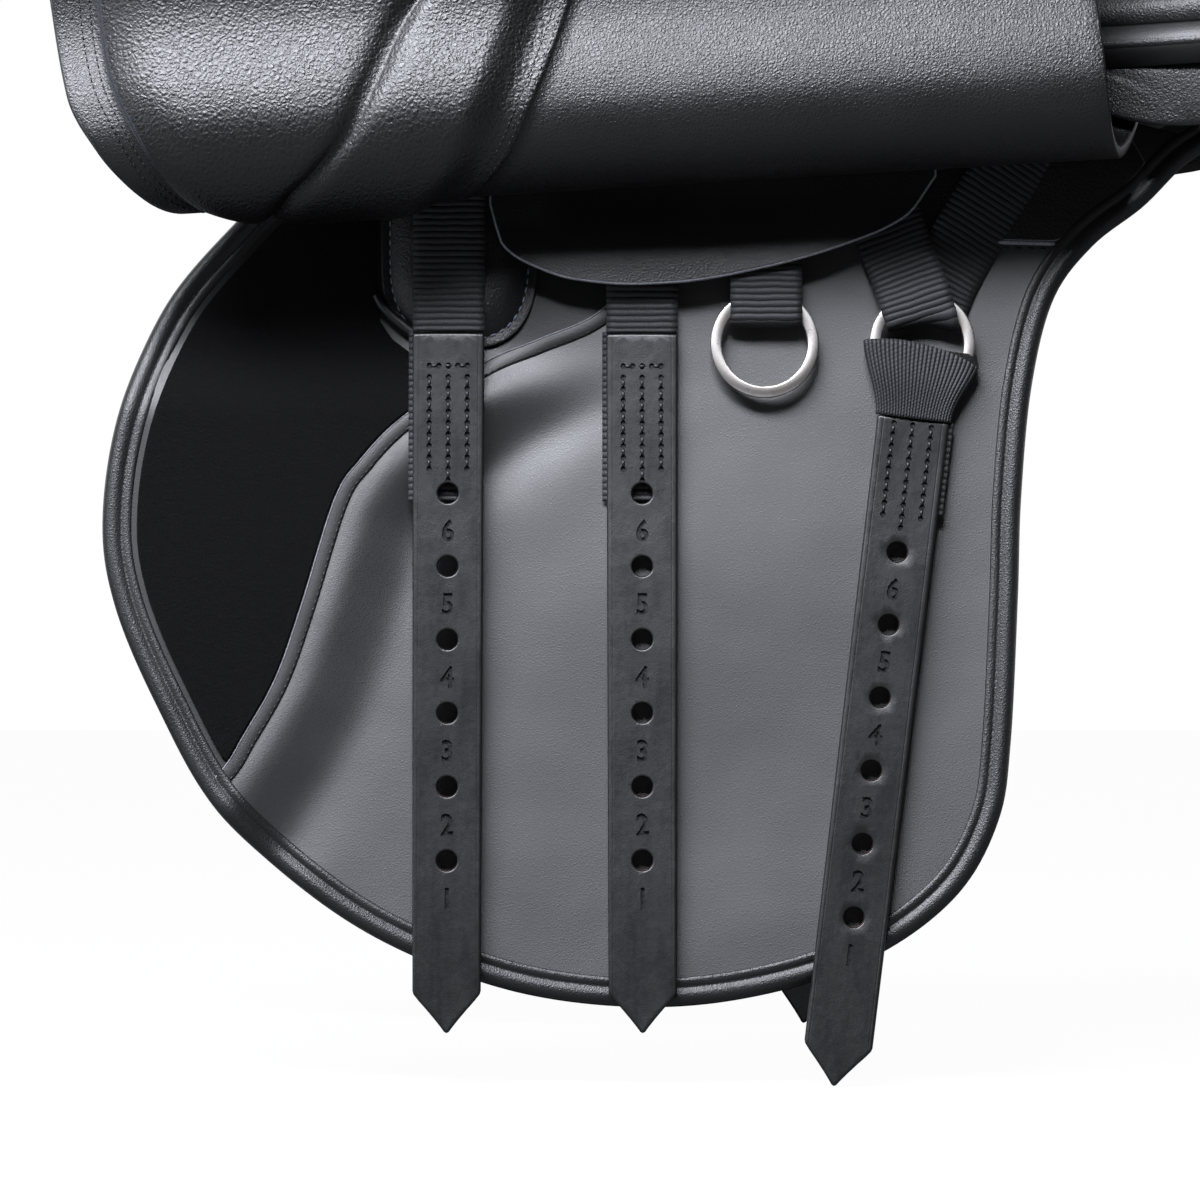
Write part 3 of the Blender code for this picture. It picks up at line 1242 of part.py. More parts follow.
def make_bar_catch(label, side):
    """Safety catch at the bar's open end. It lies back, and closes by turning up."""
    x0 = BAR_X_FRONT + BAR_LENGTH + GAP
    low, high = BAR_UP - BAR_HEIGHT / 2, BAR_UP + BAR_HEIGHT / 2
    outer = [[(x, BAR_OUT + BAR_THICK, z) for z in (low, high - 1)] for x in (x0, x0 + CATCH_LENGTH)]
    inner = [[(x, BAR_OUT, z) for z in (low, high - 1)] for x in (x0, x0 + CATCH_LENGTH)]
    grid_body(f"bar_catch_{label}", outer, inner, "steel", side,
              pivot=on_side((x0 - GAP, BAR_OUT + BAR_THICK / 2, high), side))


POMMEL_RING_X = -176.0


def pommel_ring_place():
    return 74.0, 112.0


def make_pommel_ring(label, side):
    """Small ring at the head, for a breastplate, hanging from its staple."""
    out, top = pommel_ring_place()
    radius = (POMMEL_RING_OUTSIDE - POMMEL_RING_WIRE) / 2
    make_ring(f"pommel_ring_{label}", side, POMMEL_RING_X, top - radius, POMMEL_RING_OUTSIDE, POMMEL_RING_WIRE,
              lambda z: out, (POMMEL_RING_X, out, top))


def make_pommel_staple(label, side):
    """Leather chape that carries the pommel ring from the tree's head."""
    out, top = pommel_ring_place()
    turn = POMMEL_RING_WIRE / 2 + 1.1 + 0.8
    start_y, start_z = welt_out(POMMEL_RING_X) - 4, welt_up(POMMEL_RING_X) - SEAT_EDGE_THICK - 0.6
    path = [(POMMEL_RING_X, start_y, start_z), (POMMEL_RING_X, start_y + 16, start_z - 7),
            (POMMEL_RING_X, out + turn - 1.0, top + 5)]
    for k in range(7):
        angle = math.pi * k / 6
        path.append((POMMEL_RING_X, out + turn * math.cos(angle), top - turn * math.sin(angle)))
    ribbon_body(f"pommel_staple_{label}", path, [(1, 0, 0)] * len(path), [6.0] * len(path), 1.6,
                "strap_leather", side)


def make_saddle():
    for old in list(bpy.data.objects):
        bpy.data.objects.remove(old, do_unlink=True)
    make_seat()
    make_tree()
    make_seat_web()
    make_head_plate()
    make_seat_welt()
    ring_top = GIRTH_RING_Z + ring_radius(GIRTH_RING_OUTSIDE)
    free_top = FREE_RING_Z + ring_radius(FREE_RING_OUTSIDE)
    for label, side in SIDES.items():
        make_skirt_band(label, side)
        make_skirt(label, side)
        make_stirrup_bar(label, side)
        make_bar_catch(label, side)
        make_panel(label, side)
        make_sweat_flap(label, side)
        make_flap_binding(label, side)
        make_block_patch(label, side)
        make_point_pocket(label, side)
        make_buckle_guard(label, side)
        for which in WEB_X:
            make_front_web(label, side, which)
            make_strap(label, side, which)
        make_v_web(label, side)
        make_ring(f"girth_ring_{label}", side, GIRTH_RING_X, GIRTH_RING_Z, GIRTH_RING_OUTSIDE, RING_WIRE,
                  ring_out, (GIRTH_RING_X, ring_out(ring_top), ring_top))
        make_ring_sleeve(label, side)
        make_rear_strap(label, side)
        make_tab_web(label, side)
        make_ring(f"free_ring_{label}", side, FREE_RING_X, FREE_RING_Z, FREE_RING_OUTSIDE, RING_WIRE,
                  ring_out, (FREE_RING_X, ring_out(free_top), free_top))
        make_flap_top(label, side)
        make_pommel_ring(label, side)
        make_pommel_staple(label, side)
    make_folded_flap()
    make_hanging_flap()


make_saddle()
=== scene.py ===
import math

import bmesh
import bpy
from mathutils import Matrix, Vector, noise
from mathutils.geometry import delaunay_2d_cdt


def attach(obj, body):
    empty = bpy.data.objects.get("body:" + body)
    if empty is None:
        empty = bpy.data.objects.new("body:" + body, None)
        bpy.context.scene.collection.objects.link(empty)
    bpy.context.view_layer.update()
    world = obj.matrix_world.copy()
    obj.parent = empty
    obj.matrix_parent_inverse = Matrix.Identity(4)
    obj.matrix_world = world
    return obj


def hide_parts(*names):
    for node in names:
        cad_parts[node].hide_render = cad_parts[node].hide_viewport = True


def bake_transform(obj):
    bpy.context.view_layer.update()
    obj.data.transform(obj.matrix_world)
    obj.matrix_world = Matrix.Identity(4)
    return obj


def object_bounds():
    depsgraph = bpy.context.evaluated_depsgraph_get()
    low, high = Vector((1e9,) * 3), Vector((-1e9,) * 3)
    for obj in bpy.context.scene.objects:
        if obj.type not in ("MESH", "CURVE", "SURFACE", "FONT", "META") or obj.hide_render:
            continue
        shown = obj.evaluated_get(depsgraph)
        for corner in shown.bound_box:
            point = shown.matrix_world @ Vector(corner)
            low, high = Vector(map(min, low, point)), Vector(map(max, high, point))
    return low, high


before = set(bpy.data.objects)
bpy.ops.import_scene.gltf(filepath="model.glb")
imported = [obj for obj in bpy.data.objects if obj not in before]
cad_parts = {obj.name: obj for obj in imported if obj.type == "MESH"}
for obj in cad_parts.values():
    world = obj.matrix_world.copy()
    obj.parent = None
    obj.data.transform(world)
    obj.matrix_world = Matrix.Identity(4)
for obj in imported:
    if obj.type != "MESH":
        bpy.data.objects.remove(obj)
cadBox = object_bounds()
scene = bpy.context.scene
sides = {"near": -1, "off": 1}
print("frame loaded:", len(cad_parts), "solids")

# The camera looks square at the near side, with the lens of a product photograph
shot = {"at": (-0.0842, -2.42, -0.1404), "focal": 196.7, "sensor": 36.0}
lens = bpy.data.cameras.new("camera")
lens.sensor_width, lens.lens = shot["sensor"], shot["focal"]
camera = bpy.data.objects.new("camera", lens)
camera.location, camera.rotation_euler = shot["at"], (math.radians(90), 0, 0)
scene.collection.objects.link(camera)
scene.camera = camera


def throughPoints(pairs):  # a smooth function through (position, value) pairs, without overshoot
    xs, ys = [p[0] for p in pairs], [p[1] for p in pairs]
    slopes = [(ys[i + 1] - ys[i]) / (xs[i + 1] - xs[i]) for i in range(len(xs) - 1)]
    tangents = [slopes[0]]
    for before, after in zip(slopes, slopes[1:]):
        tangents.append(0.0 if before * after <= 0 else 2 * before * after / (before + after))
    tangents.append(slopes[-1])

    def value(x):
        x = min(max(x, xs[0]), xs[-1])
        i = 0
        while i < len(xs) - 2 and x > xs[i + 1]:
            i += 1
        h = xs[i + 1] - xs[i]
        t = (x - xs[i]) / h
        return (ys[i] * (1 + 2 * t) * (1 - t) ** 2 + tangents[i] * h * t * (1 - t) ** 2
                + ys[i + 1] * t * t * (3 - 2 * t) + tangents[i + 1] * h * t * t * (t - 1))

    return value


def ramp(x, low, high):
    t = min(max((x - low) / (high - low), 0.0), 1.0)
    return t * t * (3 - 2 * t)


def mix(a, b, t):
    return a + (b - a) * t


def angles(count):  # even steps round a circle
    return [2 * math.pi * k / count for k in range(count)]


def fuller(value, power):  # keeps the sign; rounds a section less than an ellipse does
    return math.copysign(abs(value) ** power, value)


def evenPoints(points, count):  # even steps along a smooth curve through the given points
    fine = []
    for i in range(len(points) - 1):
        p0, p1, p2 = points[max(i - 1, 0)], points[i], points[i + 1]
        p3 = points[min(i + 2, len(points) - 1)]
        for k in range(12):
            t = k / 12
            fine.append(tuple(0.5 * (2 * b + (c - a) * t + (2 * a - 5 * b + 4 * c - d) * t * t
                                     + (3 * b - a - 3 * c + d) * t ** 3)
                              for a, b, c, d in zip(p0, p1, p2, p3)))
    fine.append(tuple(points[-1]))
    return atEvenSteps(fine, count)


def atEvenSteps(line, count):
    lengths = [0.0]
    for a, b in zip(line, line[1:]):
        lengths.append(lengths[-1] + math.dist(a, b))
    out, i = [], 0
    for k in range(count):
        want = lengths[-1] * k / (count - 1)
        while i < len(line) - 2 and lengths[i + 1] < want:
            i += 1
        t = (want - lengths[i]) / max(lengths[i + 1] - lengths[i], 1e-9)
        out.append(tuple(mix(a, b, t) for a, b in zip(line[i], line[i + 1])))
    return out


def movedIn(line, distance):  # an open line in the XZ plane, moved to its left
    out = []
    for k in range(len(line)):
        normals = []
        for a, b in ((k - 1, k), (k, k + 1)):
            if a >= 0 and b < len(line):
                dx, dz = line[b][0] - line[a][0], line[b][1] - line[a][1]
                length = max(math.hypot(dx, dz), 1e-9)
                normals.append((-dz / length, dx / length))
        nx, nz = sum(n[0] for n in normals) / len(normals), sum(n[1] for n in normals) / len(normals)
        square = max(nx * nx + nz * nz, 0.3)
        out.append((line[k][0] + nx / square * distance, line[k][1] + nz / square * distance))
    return out


def inside(x, z, polygon):
    hit = False
    for (x0, z0), (x1, z1) in zip(polygon, polygon[1:] + polygon[:1]):
        if (z0 > z) != (z1 > z) and x < (x1 - x0) * (z - z0) / (z1 - z0) + x0:
            hit = not hit
    return hit


def distanceTo(x, z, line):
    best = 1e9
    for (x0, z0), (x1, z1) in zip(line, line[1:]):
        dx, dz = x1 - x0, z1 - z0
        t = min(max(((x - x0) * dx + (z - z0) * dz) / max(dx * dx + dz * dz, 1e-9), 0.0), 1.0)
        best = min(best, math.hypot(x - x0 - t * dx, z - z0 - t * dz))
    return best


# Shader maths: a socket that takes part in Python sums
class Wire:
    def __init__(self, finish, socket):
        self.finish, self.socket = finish, socket

    def __add__(self, other):
        return self.finish.math("ADD", self, other)

    def __sub__(self, other):
        return self.finish.math("SUBTRACT", self, other)

    def __rsub__(self, other):
        return self.finish.math("SUBTRACT", other, self)

    def __mul__(self, other):
        return self.finish.math("MULTIPLY", self, other)

    def __pow__(self, other):
        return self.finish.math("POWER", self, other)

    __radd__, __rmul__ = __add__, __mul__


class Finish:
    def __init__(self, name, coords="Object"):
        self.material = bpy.data.materials.new(name)
        self.material.use_nodes = True
        self.nodes, self.links = self.material.node_tree.nodes, self.material.node_tree.links
        self.nodes.clear()
        self.place = self.node("ShaderNodeTexCoord", out=coords)

    def node(self, kind, settings=None, values=None, out=0):
        node = self.nodes.new(kind)
        for key, value in (settings or {}).items():
            setattr(node, key, value)
        for key, value in (values or {}).items():
            if isinstance(value, Wire):
                self.links.new(value.socket, node.inputs[key])
            else:
                node.inputs[key].default_value = value
        return Wire(self, node.outputs[out])

    def math(self, operation, *terms):
        return self.node("ShaderNodeMath", {"operation": operation}, dict(enumerate(terms)))

    def rise(self, value, low, high):  # 0 below low, 1 above high
        return self.node("ShaderNodeMapRange", {"interpolation_type": "SMOOTHSTEP"},
                         {"Value": value, "From Min": low, "From Max": high})

    def noise(self, size, detail=2.0, rough=0.5, place=None, warp=0.0):  # size in mm
        return self.node("ShaderNodeTexNoise", {},
                         {"Vector": place or self.place, "Scale": 1000 / size, "Detail": detail,
                          "Roughness": rough, "Distortion": warp})

    def cells(self, size, place=None):  # size in mm
        return self.node("ShaderNodeTexVoronoi", {"feature": "DISTANCE_TO_EDGE"},
                         {"Vector": place or self.place, "Scale": 1000 / size})

    def part(self, axis):
        return self.node("ShaderNodeSeparateXYZ", {}, {0: self.place}, out=axis)

    def stretched(self, scale):
        return self.node("ShaderNodeMapping", {}, {"Vector": self.place, "Scale": scale})

    def blend(self, factor, one, two):
        one, two = [c if isinstance(c, Wire) else (*c, 1.0) for c in (one, two)]
        return self.node("ShaderNodeMix", {"data_type": "RGBA"}, {0: factor, 6: one, 7: two}, out=2)

    def bump(self, height, depth, below=None):  # depth in mm
        values = {"Height": height, "Distance": depth / 1000, "Strength": 1.0}
        if below:
            values["Normal"] = below
        return self.node("ShaderNodeBump", {}, values)

    def finish(self, colour, rough, normal=None, metal=0.0, **fixed):
        values = {"Base Color": colour if isinstance(colour, Wire) else (*colour, 1.0), "Roughness": rough,
                  "Metallic": metal, **{key.replace("_", " "): value for key, value in fixed.items()}}
        if normal:
            values["Normal"] = normal
        shader = self.node("ShaderNodeBsdfPrincipled", {}, values)
        end = self.nodes.new("ShaderNodeOutputMaterial")
        self.links.new(shader.socket, end.inputs[0])
        return self.material


leatherLooks = {
    # two colours, roughness, size of the grain, its depth and that of the swell in mm, gloss, coordinates
    "sweatFlapHide": {"colour": (0.0032, 0.0032, 0.0037), "worn": (0.0055, 0.0055, 0.0064), "rough": 0.45,
                      "grain": 0.95, "depth": 0.034, "swell": 0.14, "gloss": 1.0, "coords": "Object"},
    "flapHide": {"colour": (0.0025, 0.0025, 0.0028), "worn": (0.004, 0.004, 0.0045), "rough": 0.35,
                 "grain": 1.5, "depth": 0.12, "swell": 0.05, "coords": "UV"},
    "padHide": {"colour": (0.002, 0.002, 0.0023), "worn": (0.0035, 0.0035, 0.004), "rough": 0.33,
                "grain": 2.1, "depth": 0.17, "swell": 0.12, "coords": "UV"},
    "grainedHide": {"colour": (0.0025, 0.0025, 0.0028), "worn": (0.004, 0.004, 0.0045), "rough": 0.42,
                    "grain": 1.6, "depth": 0.14, "swell": 0.12, "coords": "Object"},
    "bindingHide": {"colour": (0.0035, 0.0035, 0.004), "worn": (0.0065, 0.0065, 0.0075), "rough": 0.37,
                    "grain": 1.1, "depth": 0.09, "swell": 0.12, "coords": "Object"},
    "blackHide": {"colour": (0.002, 0.002, 0.0023), "worn": (0.003, 0.003, 0.0035), "rough": 0.40,
                  "grain": 0.9, "depth": 0.03, "swell": 0.12, "coords": "Object"},
    "guardHide": {"colour": (0.0028, 0.0028, 0.0032), "worn": (0.0045, 0.0045, 0.0052), "rough": 0.40,
                  "grain": 1.4, "depth": 0.10, "swell": 0.12, "coords": "UV"},
}


# Shared by all leathers: shares of the grain's size, sizes in mm, and how far the grain is drawn out of line
hidePattern = {"second": 0.62, "fine": 0.35, "patches": 38, "swell": 34, "warpScale": 600, "warp": 0.0007}


def leather(name, look):
    f = Finish(name, look["coords"])
    size = look["grain"]
    drift = f.node("ShaderNodeTexNoise", {},
                   {"Vector": f.place, "Scale": hidePattern["warpScale"] / size, "Detail": 2.0}, out=1)
    warp = f.node("ShaderNodeVectorMath", {"operation": "MULTIPLY_ADD"},
                  {0: drift, 1: (hidePattern["warp"] * size,) * 3, 2: f.place})
    large, small = f.cells(size, warp), f.cells(size * hidePattern["second"], warp)
    pebble = f.rise(large, 0.0, 0.42) * 0.6 + f.rise(small, 0.0, 0.45) * 0.4
    fine = f.noise(size * hidePattern["fine"], 3.0, 0.6)
    patches = f.noise(hidePattern["patches"], 3.0, 0.55)
    wear = f.rise(patches, 0.42, 0.72)
    colour = f.blend(wear * 0.7 + fine * 0.15, look["colour"], look["worn"])
    rough = look["rough"] + (1 - pebble) * 0.10 + (patches - 0.5) * 0.12
    normal = f.bump(pebble + fine * 0.3, look["depth"])
    normal = f.bump(f.noise(hidePattern["swell"], 1.0, 0.4), look["swell"] * 4, normal)
    return f.finish(colour, rough, normal, Specular_IOR_Level=look.get("gloss", 0.5))


def webbingFinish():  # UV: metres across and along the web
    look = {"pitch": 2.25, "twill": 0.62, "depth": 0.42, "colour": (0.0035, 0.0035, 0.004),
            "ridge": (0.015, 0.0155, 0.018)}
    f = Finish("ribbedWebbing", "UV")
    across, along = f.part(0) * 1000, f.part(1) * 1000
    wobble = f.noise(9, 1.0) * 0.7
    phase = (along + wobble) * (math.pi / look["pitch"])
    rib = f.math("ABSOLUTE", f.math("SINE", phase)) ** 0.7
    twill = f.math("ABSOLUTE", f.math("SINE", across * (math.pi / look["twill"]) + phase * 0.5))
    thread = f.noise(0.35, 2.0, 0.6, f.stretched((3.0, 1.0, 1.0)))
    # painted highlight and shade: the colour is pale on the crests of the ribs and stays dark in the grooves
    # between them
    colour = f.blend(rib * 0.75 + twill * rib * 0.2, look["colour"], look["ridge"])
    normal = f.bump(rib + twill * 0.16 + thread * 0.12, look["depth"])
    return f.finish(colour, 0.5 + thread * 0.16, normal, Specular_IOR_Level=0.4)


def strapFinish():  # UV: metres across and down the strap
    look = {"colour": (0.0025, 0.0025, 0.0028), "worn": (0.0065, 0.0065, 0.0075),
            "line": (0.004, 0.004, 0.005), "half": 12.5, "lineIn": 2.2}
    f = Finish("girthStrapLeather", "UV")
    across = f.math("ABSOLUTE", f.part(0) * 1000)
    streak = f.noise(7, 4.0, 0.6, f.stretched((1.0, 0.3, 1.0)))
    creases = f.noise(1.6, 3.0, 0.55, f.stretched((1.0, 0.6, 1.0)), 0.6)
    pores = f.cells(0.9)
    # painted highlight: the colour lightens over the last mm at both edges, where light would catch the
    # rounded rim
    edge = f.rise(across, look["half"] - 1.6, look["half"] - 0.5)
    groove = 1 - f.rise(f.math("ABSOLUTE", across - (look["half"] - look["lineIn"])), 0.0, 0.35)
    wear = f.rise(streak, 0.38, 0.72)
    # the worn colour carries both the random wear streaks and the painted edge highlight
    colour = f.blend(wear * 0.55 + edge * 0.45, look["colour"], look["worn"])
    colour = f.blend(groove * 0.4, colour, look["line"])
    rough = 0.30 + (1 - wear) * 0.08 + creases * 0.10
    normal = f.bump(creases * 0.8 + f.rise(pores, 0, 0.3) * 0.2, 0.05)
    normal = f.bump(f.noise(9, 2.0, 0.5) - groove * 0.3, 0.14, normal)
    normal = f.bump(f.noise(75, 1.0, 0.4), 2.2, normal)
    return f.finish(colour, rough, normal)


def fastenerFinish():
    look = {"colour": (0.0012, 0.0012, 0.0014), "loops": (0.016, 0.016, 0.018), "depth": 1.1}
    f = Finish("loopFastener")
    fuzz = f.noise(0.7, 4.0, 0.8)
    tufts = f.noise(2.4, 3.0, 0.7)
    bright = f.rise(fuzz, 0.56, 0.74)
    colour = f.blend(bright * 0.8, look["colour"], look["loops"])
    return f.finish(colour, 0.85, f.bump(fuzz + tufts * 0.6, look["depth"]), Specular_IOR_Level=0.12)


def steelFinish():
    look = {"bright": (0.84, 0.81, 0.775), "hazy": (0.58, 0.53, 0.48), "rough": 0.22}
    f = Finish("ringSteel")
    haze = f.noise(6, 3.0, 0.6)
    colour = f.blend(f.rise(haze, 0.35, 0.75), look["bright"], look["hazy"])
    return f.finish(colour, look["rough"] + haze * 0.14, f.bump(f.noise(1.2, 2.0), 0.01), 1.0)


def plainFinish(look):
    f = Finish(look["name"], look.get("coords", "Object"))
    mottle = f.noise(look["size"], 3.0, 0.6)
    colour = f.blend(f.rise(mottle, 0.3, 0.75), look["colour"], look["other"])
    return f.finish(colour, look["rough"] + (mottle - 0.5) * 0.1, f.bump(mottle, look["depth"]),
                    Specular_IOR_Level=look.get("gloss", 0.4))


def woodFinish():
    look = {"dark": (0.02, 0.014, 0.010), "pale": (0.05, 0.035, 0.022), "rough": 0.32}
    f = Finish("laminatedWood")
    plies = f.math("SINE", f.part(2) * 2600 + f.noise(30, 2.0) * 4)
    grain = f.noise(4, 4.0, 0.6, f.stretched((0.12, 1.0, 1.0)))
    colour = f.blend(f.rise(plies, -0.4, 0.6) * 0.5 + grain * 0.5, look["dark"], look["pale"])
    return f.finish(colour, look["rough"] + grain * 0.12, f.bump(grain, 0.12))


plainLooks = {
    # two colours, roughness, size of the mottling and its depth in mm
    "thread": {"name": "blackThread", "colour": (0.003, 0.003, 0.0035), "other": (0.007, 0.007, 0.008),
               "rough": 0.42, "size": 0.4, "depth": 0.03},
    "blueThread": {"name": "greyBlueThread", "colour": (0.085, 0.11, 0.16), "other": (0.22, 0.26, 0.33),
                   "rough": 0.5, "size": 0.4, "depth": 0.05},
    "cutEdge": {"name": "cutEdgeBlueGrey", "colour": (0.016, 0.0185, 0.022), "other": (0.035, 0.039, 0.045),
                "rough": 0.7, "size": 0.7, "depth": 0.12, "coords": "UV", "gloss": 0.2},
    "darkEdge": {"name": "dyedEdge", "colour": (0.012, 0.012, 0.0135), "other": (0.04, 0.04, 0.044),
                 "rough": 0.45, "size": 1.0, "depth": 0.05},
    "paleEdge": {"name": "rawGuardEdge", "colour": (0.11, 0.115, 0.13), "other": (0.25, 0.26, 0.29),
                 "rough": 0.6, "size": 0.6, "depth": 0.1},
    "holeWall": {"name": "punchedHoleWall", "colour": (0.035, 0.014, 0.008), "other": (0.13, 0.052, 0.026),
                 "rough": 0.55, "size": 0.8, "depth": 0.1},
    "suede": {"name": "fleshSide", "colour": (0.016, 0.016, 0.017), "other": (0.035, 0.035, 0.037),
              "rough": 0.8, "size": 0.8, "depth": 0.1},
    "strapMark": {"name": "pressedMark", "colour": (0.006, 0.006, 0.007), "other": (0.02, 0.02, 0.022),
                  "rough": 0.3, "size": 1.0, "depth": 0.03},
}

finishes = {name: leather(name, look) for name, look in leatherLooks.items()}
finishes.update({name: plainFinish(look) for name, look in plainLooks.items()})
finishes["webbing"] = webbingFinish()
finishes["strap"] = strapFinish()
finishes["fastener"] = fastenerFinish()
finishes["steel"] = steelFinish()
finishes["wood"] = woodFinish()
print("finishes made:", len(finishes))


# Meshes. Points are (along, out from the middle, up) in mm, and side puts them on the near or off side.
def placed(point, side=1):
    return Vector((point[0] / 1000, point[1] * side / 1000, point[2] / 1000))


def makeMesh(name, points, faces, looks, uvs=None, pick=None, flip=False):
    mesh = bpy.data.meshes.new(name)
    mesh.from_pydata(points, [], [tuple(reversed(f)) for f in faces] if flip else faces)
    for look in looks:
        mesh.materials.append(finishes[look])
    if pick:
        mesh.polygons.foreach_set("material_index", pick)
    if uvs:
        layer = mesh.uv_layers.new(name="flat")
        for loop in mesh.loops:
            layer.data[loop.index].uv = uvs[loop.vertex_index]
    mesh.shade_smooth()
    obj = bpy.data.objects.new(name, mesh)
    scene.collection.objects.link(obj)
    return obj


def settled(obj):  # modifiers turned into plain mesh
    depsgraph = bpy.context.evaluated_depsgraph_get()
    mesh = bpy.data.meshes.new_from_object(obj.evaluated_get(depsgraph))
    obj.modifiers.clear()
    obj.data = mesh
    return obj


def facedOut(obj):  # loose points dropped and faces turned outwards
    kit = bmesh.new()
    kit.from_mesh(obj.data)
    bmesh.ops.delete(kit, geom=[v for v in kit.verts if not v.link_faces], context="VERTS")
    bmesh.ops.recalc_face_normals(kit, faces=kit.faces)
    kit.to_mesh(obj.data)
    kit.free()
    return obj


def gridSheet(name, rows, side, looks, closed=False):
    count = len(rows[0])
    points = [placed(p, side) for row in rows for p in row]
    faces = []
    for i in range(len(rows) - 1):
        for j in range(count if closed else count - 1):
            k = (j + 1) % count
            faces.append((i * count + j, i * count + k, (i + 1) * count + k, (i + 1) * count + j))
    return makeMesh(name, points, faces, looks, [(p[0] / 1000, p[2] / 1000) for row in rows for p in row],
                    flip=side < 0)


def grown(loop, distance):  # a closed loop in the XZ plane, moved outwards
    turn = sum(a[0] * b[1] - b[0] * a[1] for a, b in zip(loop, loop[1:] + loop[:1]))
    line = [loop[-1]] + list(loop) + [loop[0]]
    return movedIn(line, -distance if turn > 0 else distance)[1:-1]


markDepth = 0.9  # of pits and numbers pressed into a face, in mm


def slab(name, outline, side, outAt, looks, thick, round, step=4.0, holes=(), pressed=(), uvAt=None,
         extra=()):
    # leather with a rounded edge, punched holes, and marks pressed into its face; looks are face, rim, back,
    # hole wall and pressed floor
    loops = [(grown(outline, -round), outline)] + [(grown(h, round * 0.6), h) for h in holes]
    flat, edges, starts = [], [], []
    bounds = [first for first, _ in loops]
    for loop in bounds + [list(mark) for mark in pressed]:
        starts.append(len(flat))
        flat += loop
        edges += [(starts[-1] + k, starts[-1] + (k + 1) % len(loop)) for k in range(len(loop))]
    closed = [loop + loop[:1] for loop in bounds]
    flat += grown(outline, -round - 0.5) + [p for p in extra if inside(*p, bounds[0])]
    xs, zs = [p[0] for p in outline], [p[1] for p in outline]
    row, z = 0, min(zs)
    while z < max(zs):
        x = min(xs) + (row % 2) * step / 2
        while x < max(xs):
            if inside(x, z, bounds[0]) and all(distanceTo(x, z, r) > step * 0.45 for r in closed):
                flat.append((x, z))
            x += step
        z += step * 0.87
        row += 1
    found = delaunay_2d_cdt([Vector(p) for p in flat], edges, [], 0, 1e-5)
    where, back = found[0], {}
    for index, origins in enumerate(found[3]):
        for origin in origins:
            back[origin] = index
    points = [(p.x, outAt(p.x, p.y), p.y) for p in where]
    count = len(points)
    points += [(x, y - thick, z) for x, y, z in points]
    faces, chosen, floor = [], [], {}

    def sunk(index):
        if index not in floor:
            x, y, z = points[index]
            floor[index] = len(points)
            points.append((x, y - markDepth, z))
        return floor[index]

    boxes = [(min(q[0] for q in m), max(q[0] for q in m), min(q[1] for q in m), max(q[1] for q in m), m)
             for m in pressed]
    for tri in found[2]:
        cx, cz = sum(where[v].x for v in tri) / 3, sum(where[v].y for v in tri) / 3
        if not inside(cx, cz, bounds[0]) or any(inside(cx, cz, h) for h in bounds[1:]):
            continue
        a, b, c = [where[v] for v in tri]
        tri = tuple(tri) if (b - a).cross(c - a) < 0 else tuple(reversed(tri))
        marked = sum(inside(cx, cz, m) for x0, x1, z0, z1, m in boxes if x0 < cx < x1 and z0 < cz < z1) % 2
        faces.append(tuple(sunk(v) for v in tri) if marked else tri)
        chosen.append(4 if marked else 0)
        faces.append(tuple(v + count for v in reversed(tri)))
        chosen.append(2)
    for mark, start in zip(pressed, starts[len(loops):]):
        for k in range(len(mark)):
            a, b = back[start + k], back[start + (k + 1) % len(mark)]
            faces.append((a, b, sunk(b), sunk(a)))
            chosen.append(0)
    quarter = [math.radians(w) for w in (25, 50, 90)]
    arc = [(round * (1 - math.sin(q)), round * (1 - math.cos(q))) for q in quarter]
    for number, ((first, edge), start) in enumerate(zip(loops, starts)):
        rows = [[back[start + k] for k in range(len(first))]]
        for inset, drop in arc + [(0.0, thick - round * 0.6)]:
            base = len(points)
            part = grown(edge, inset * (0.6 if number else -1))
            points += [(x, outAt(x, z) - drop, z) for x, z in part]
            rows.append(list(range(base, base + len(edge))))
        rows.append([v + count for v in rows[0]])
        for upper, lower in zip(rows, rows[1:]):
            for k in range(len(edge)):
                m = (k + 1) % len(edge)
                faces.append((upper[k], lower[k], lower[m], upper[m]))
                chosen.append((3 if lower is rows[-2] else 0) if number else 1)
    uvs = [uvAt(x, z) if uvAt else (x / 1000, z / 1000) for x, _, z in points]
    obj = facedOut(makeMesh(name, [placed(q, side) for q in points], faces, looks, uvs, chosen))
    obj.data.set_sharp_from_angle(angle=math.radians(52))
    return obj


def tube(name, rings, side, looks, closed=False, uvs=None):
    n = len(rings[0])
    points = [placed(p, side) for ring in rings for p in ring]
    faces = []
    for k in range(len(rings) if closed else len(rings) - 1):
        a, b = k * n, ((k + 1) % len(rings)) * n
        faces += [(a + j, a + (j + 1) % n, b + (j + 1) % n, b + j) for j in range(n)]
    if not closed:
        faces += [tuple(range(n))[::-1], tuple((len(rings) - 1) * n + j for j in range(n))]
    return facedOut(makeMesh(name, points, faces, looks,
                             [uv for ring in uvs for uv in ring] if uvs else None))


def roundTube(name, line, radius, side, looks, closed=False, sides=12):
    path = [Vector(p) for p in line]
    rings = []
    up = Vector((0, 0, 1))
    for k, p in enumerate(path):
        before = path[k - 1] if closed or k else p
        after = path[(k + 1) % len(path)] if closed or k < len(path) - 1 else p
        ahead = (after - before).normalized()
        one = ahead.cross(up)
        if one.length < 0.2:
            one = ahead.cross(Vector((0, 1, 0)))
        one.normalize()
        two = one.cross(ahead).normalized()
        r = radius(k / (len(path) - 1)) if callable(radius) else radius
        rings.append([p + one * r * math.cos(a) + two * r * math.sin(a) for a in angles(sides)])
    return tube(name, rings, side, looks, closed)


edgeShare = 0.5  # of a web's thickness that is left near its edges


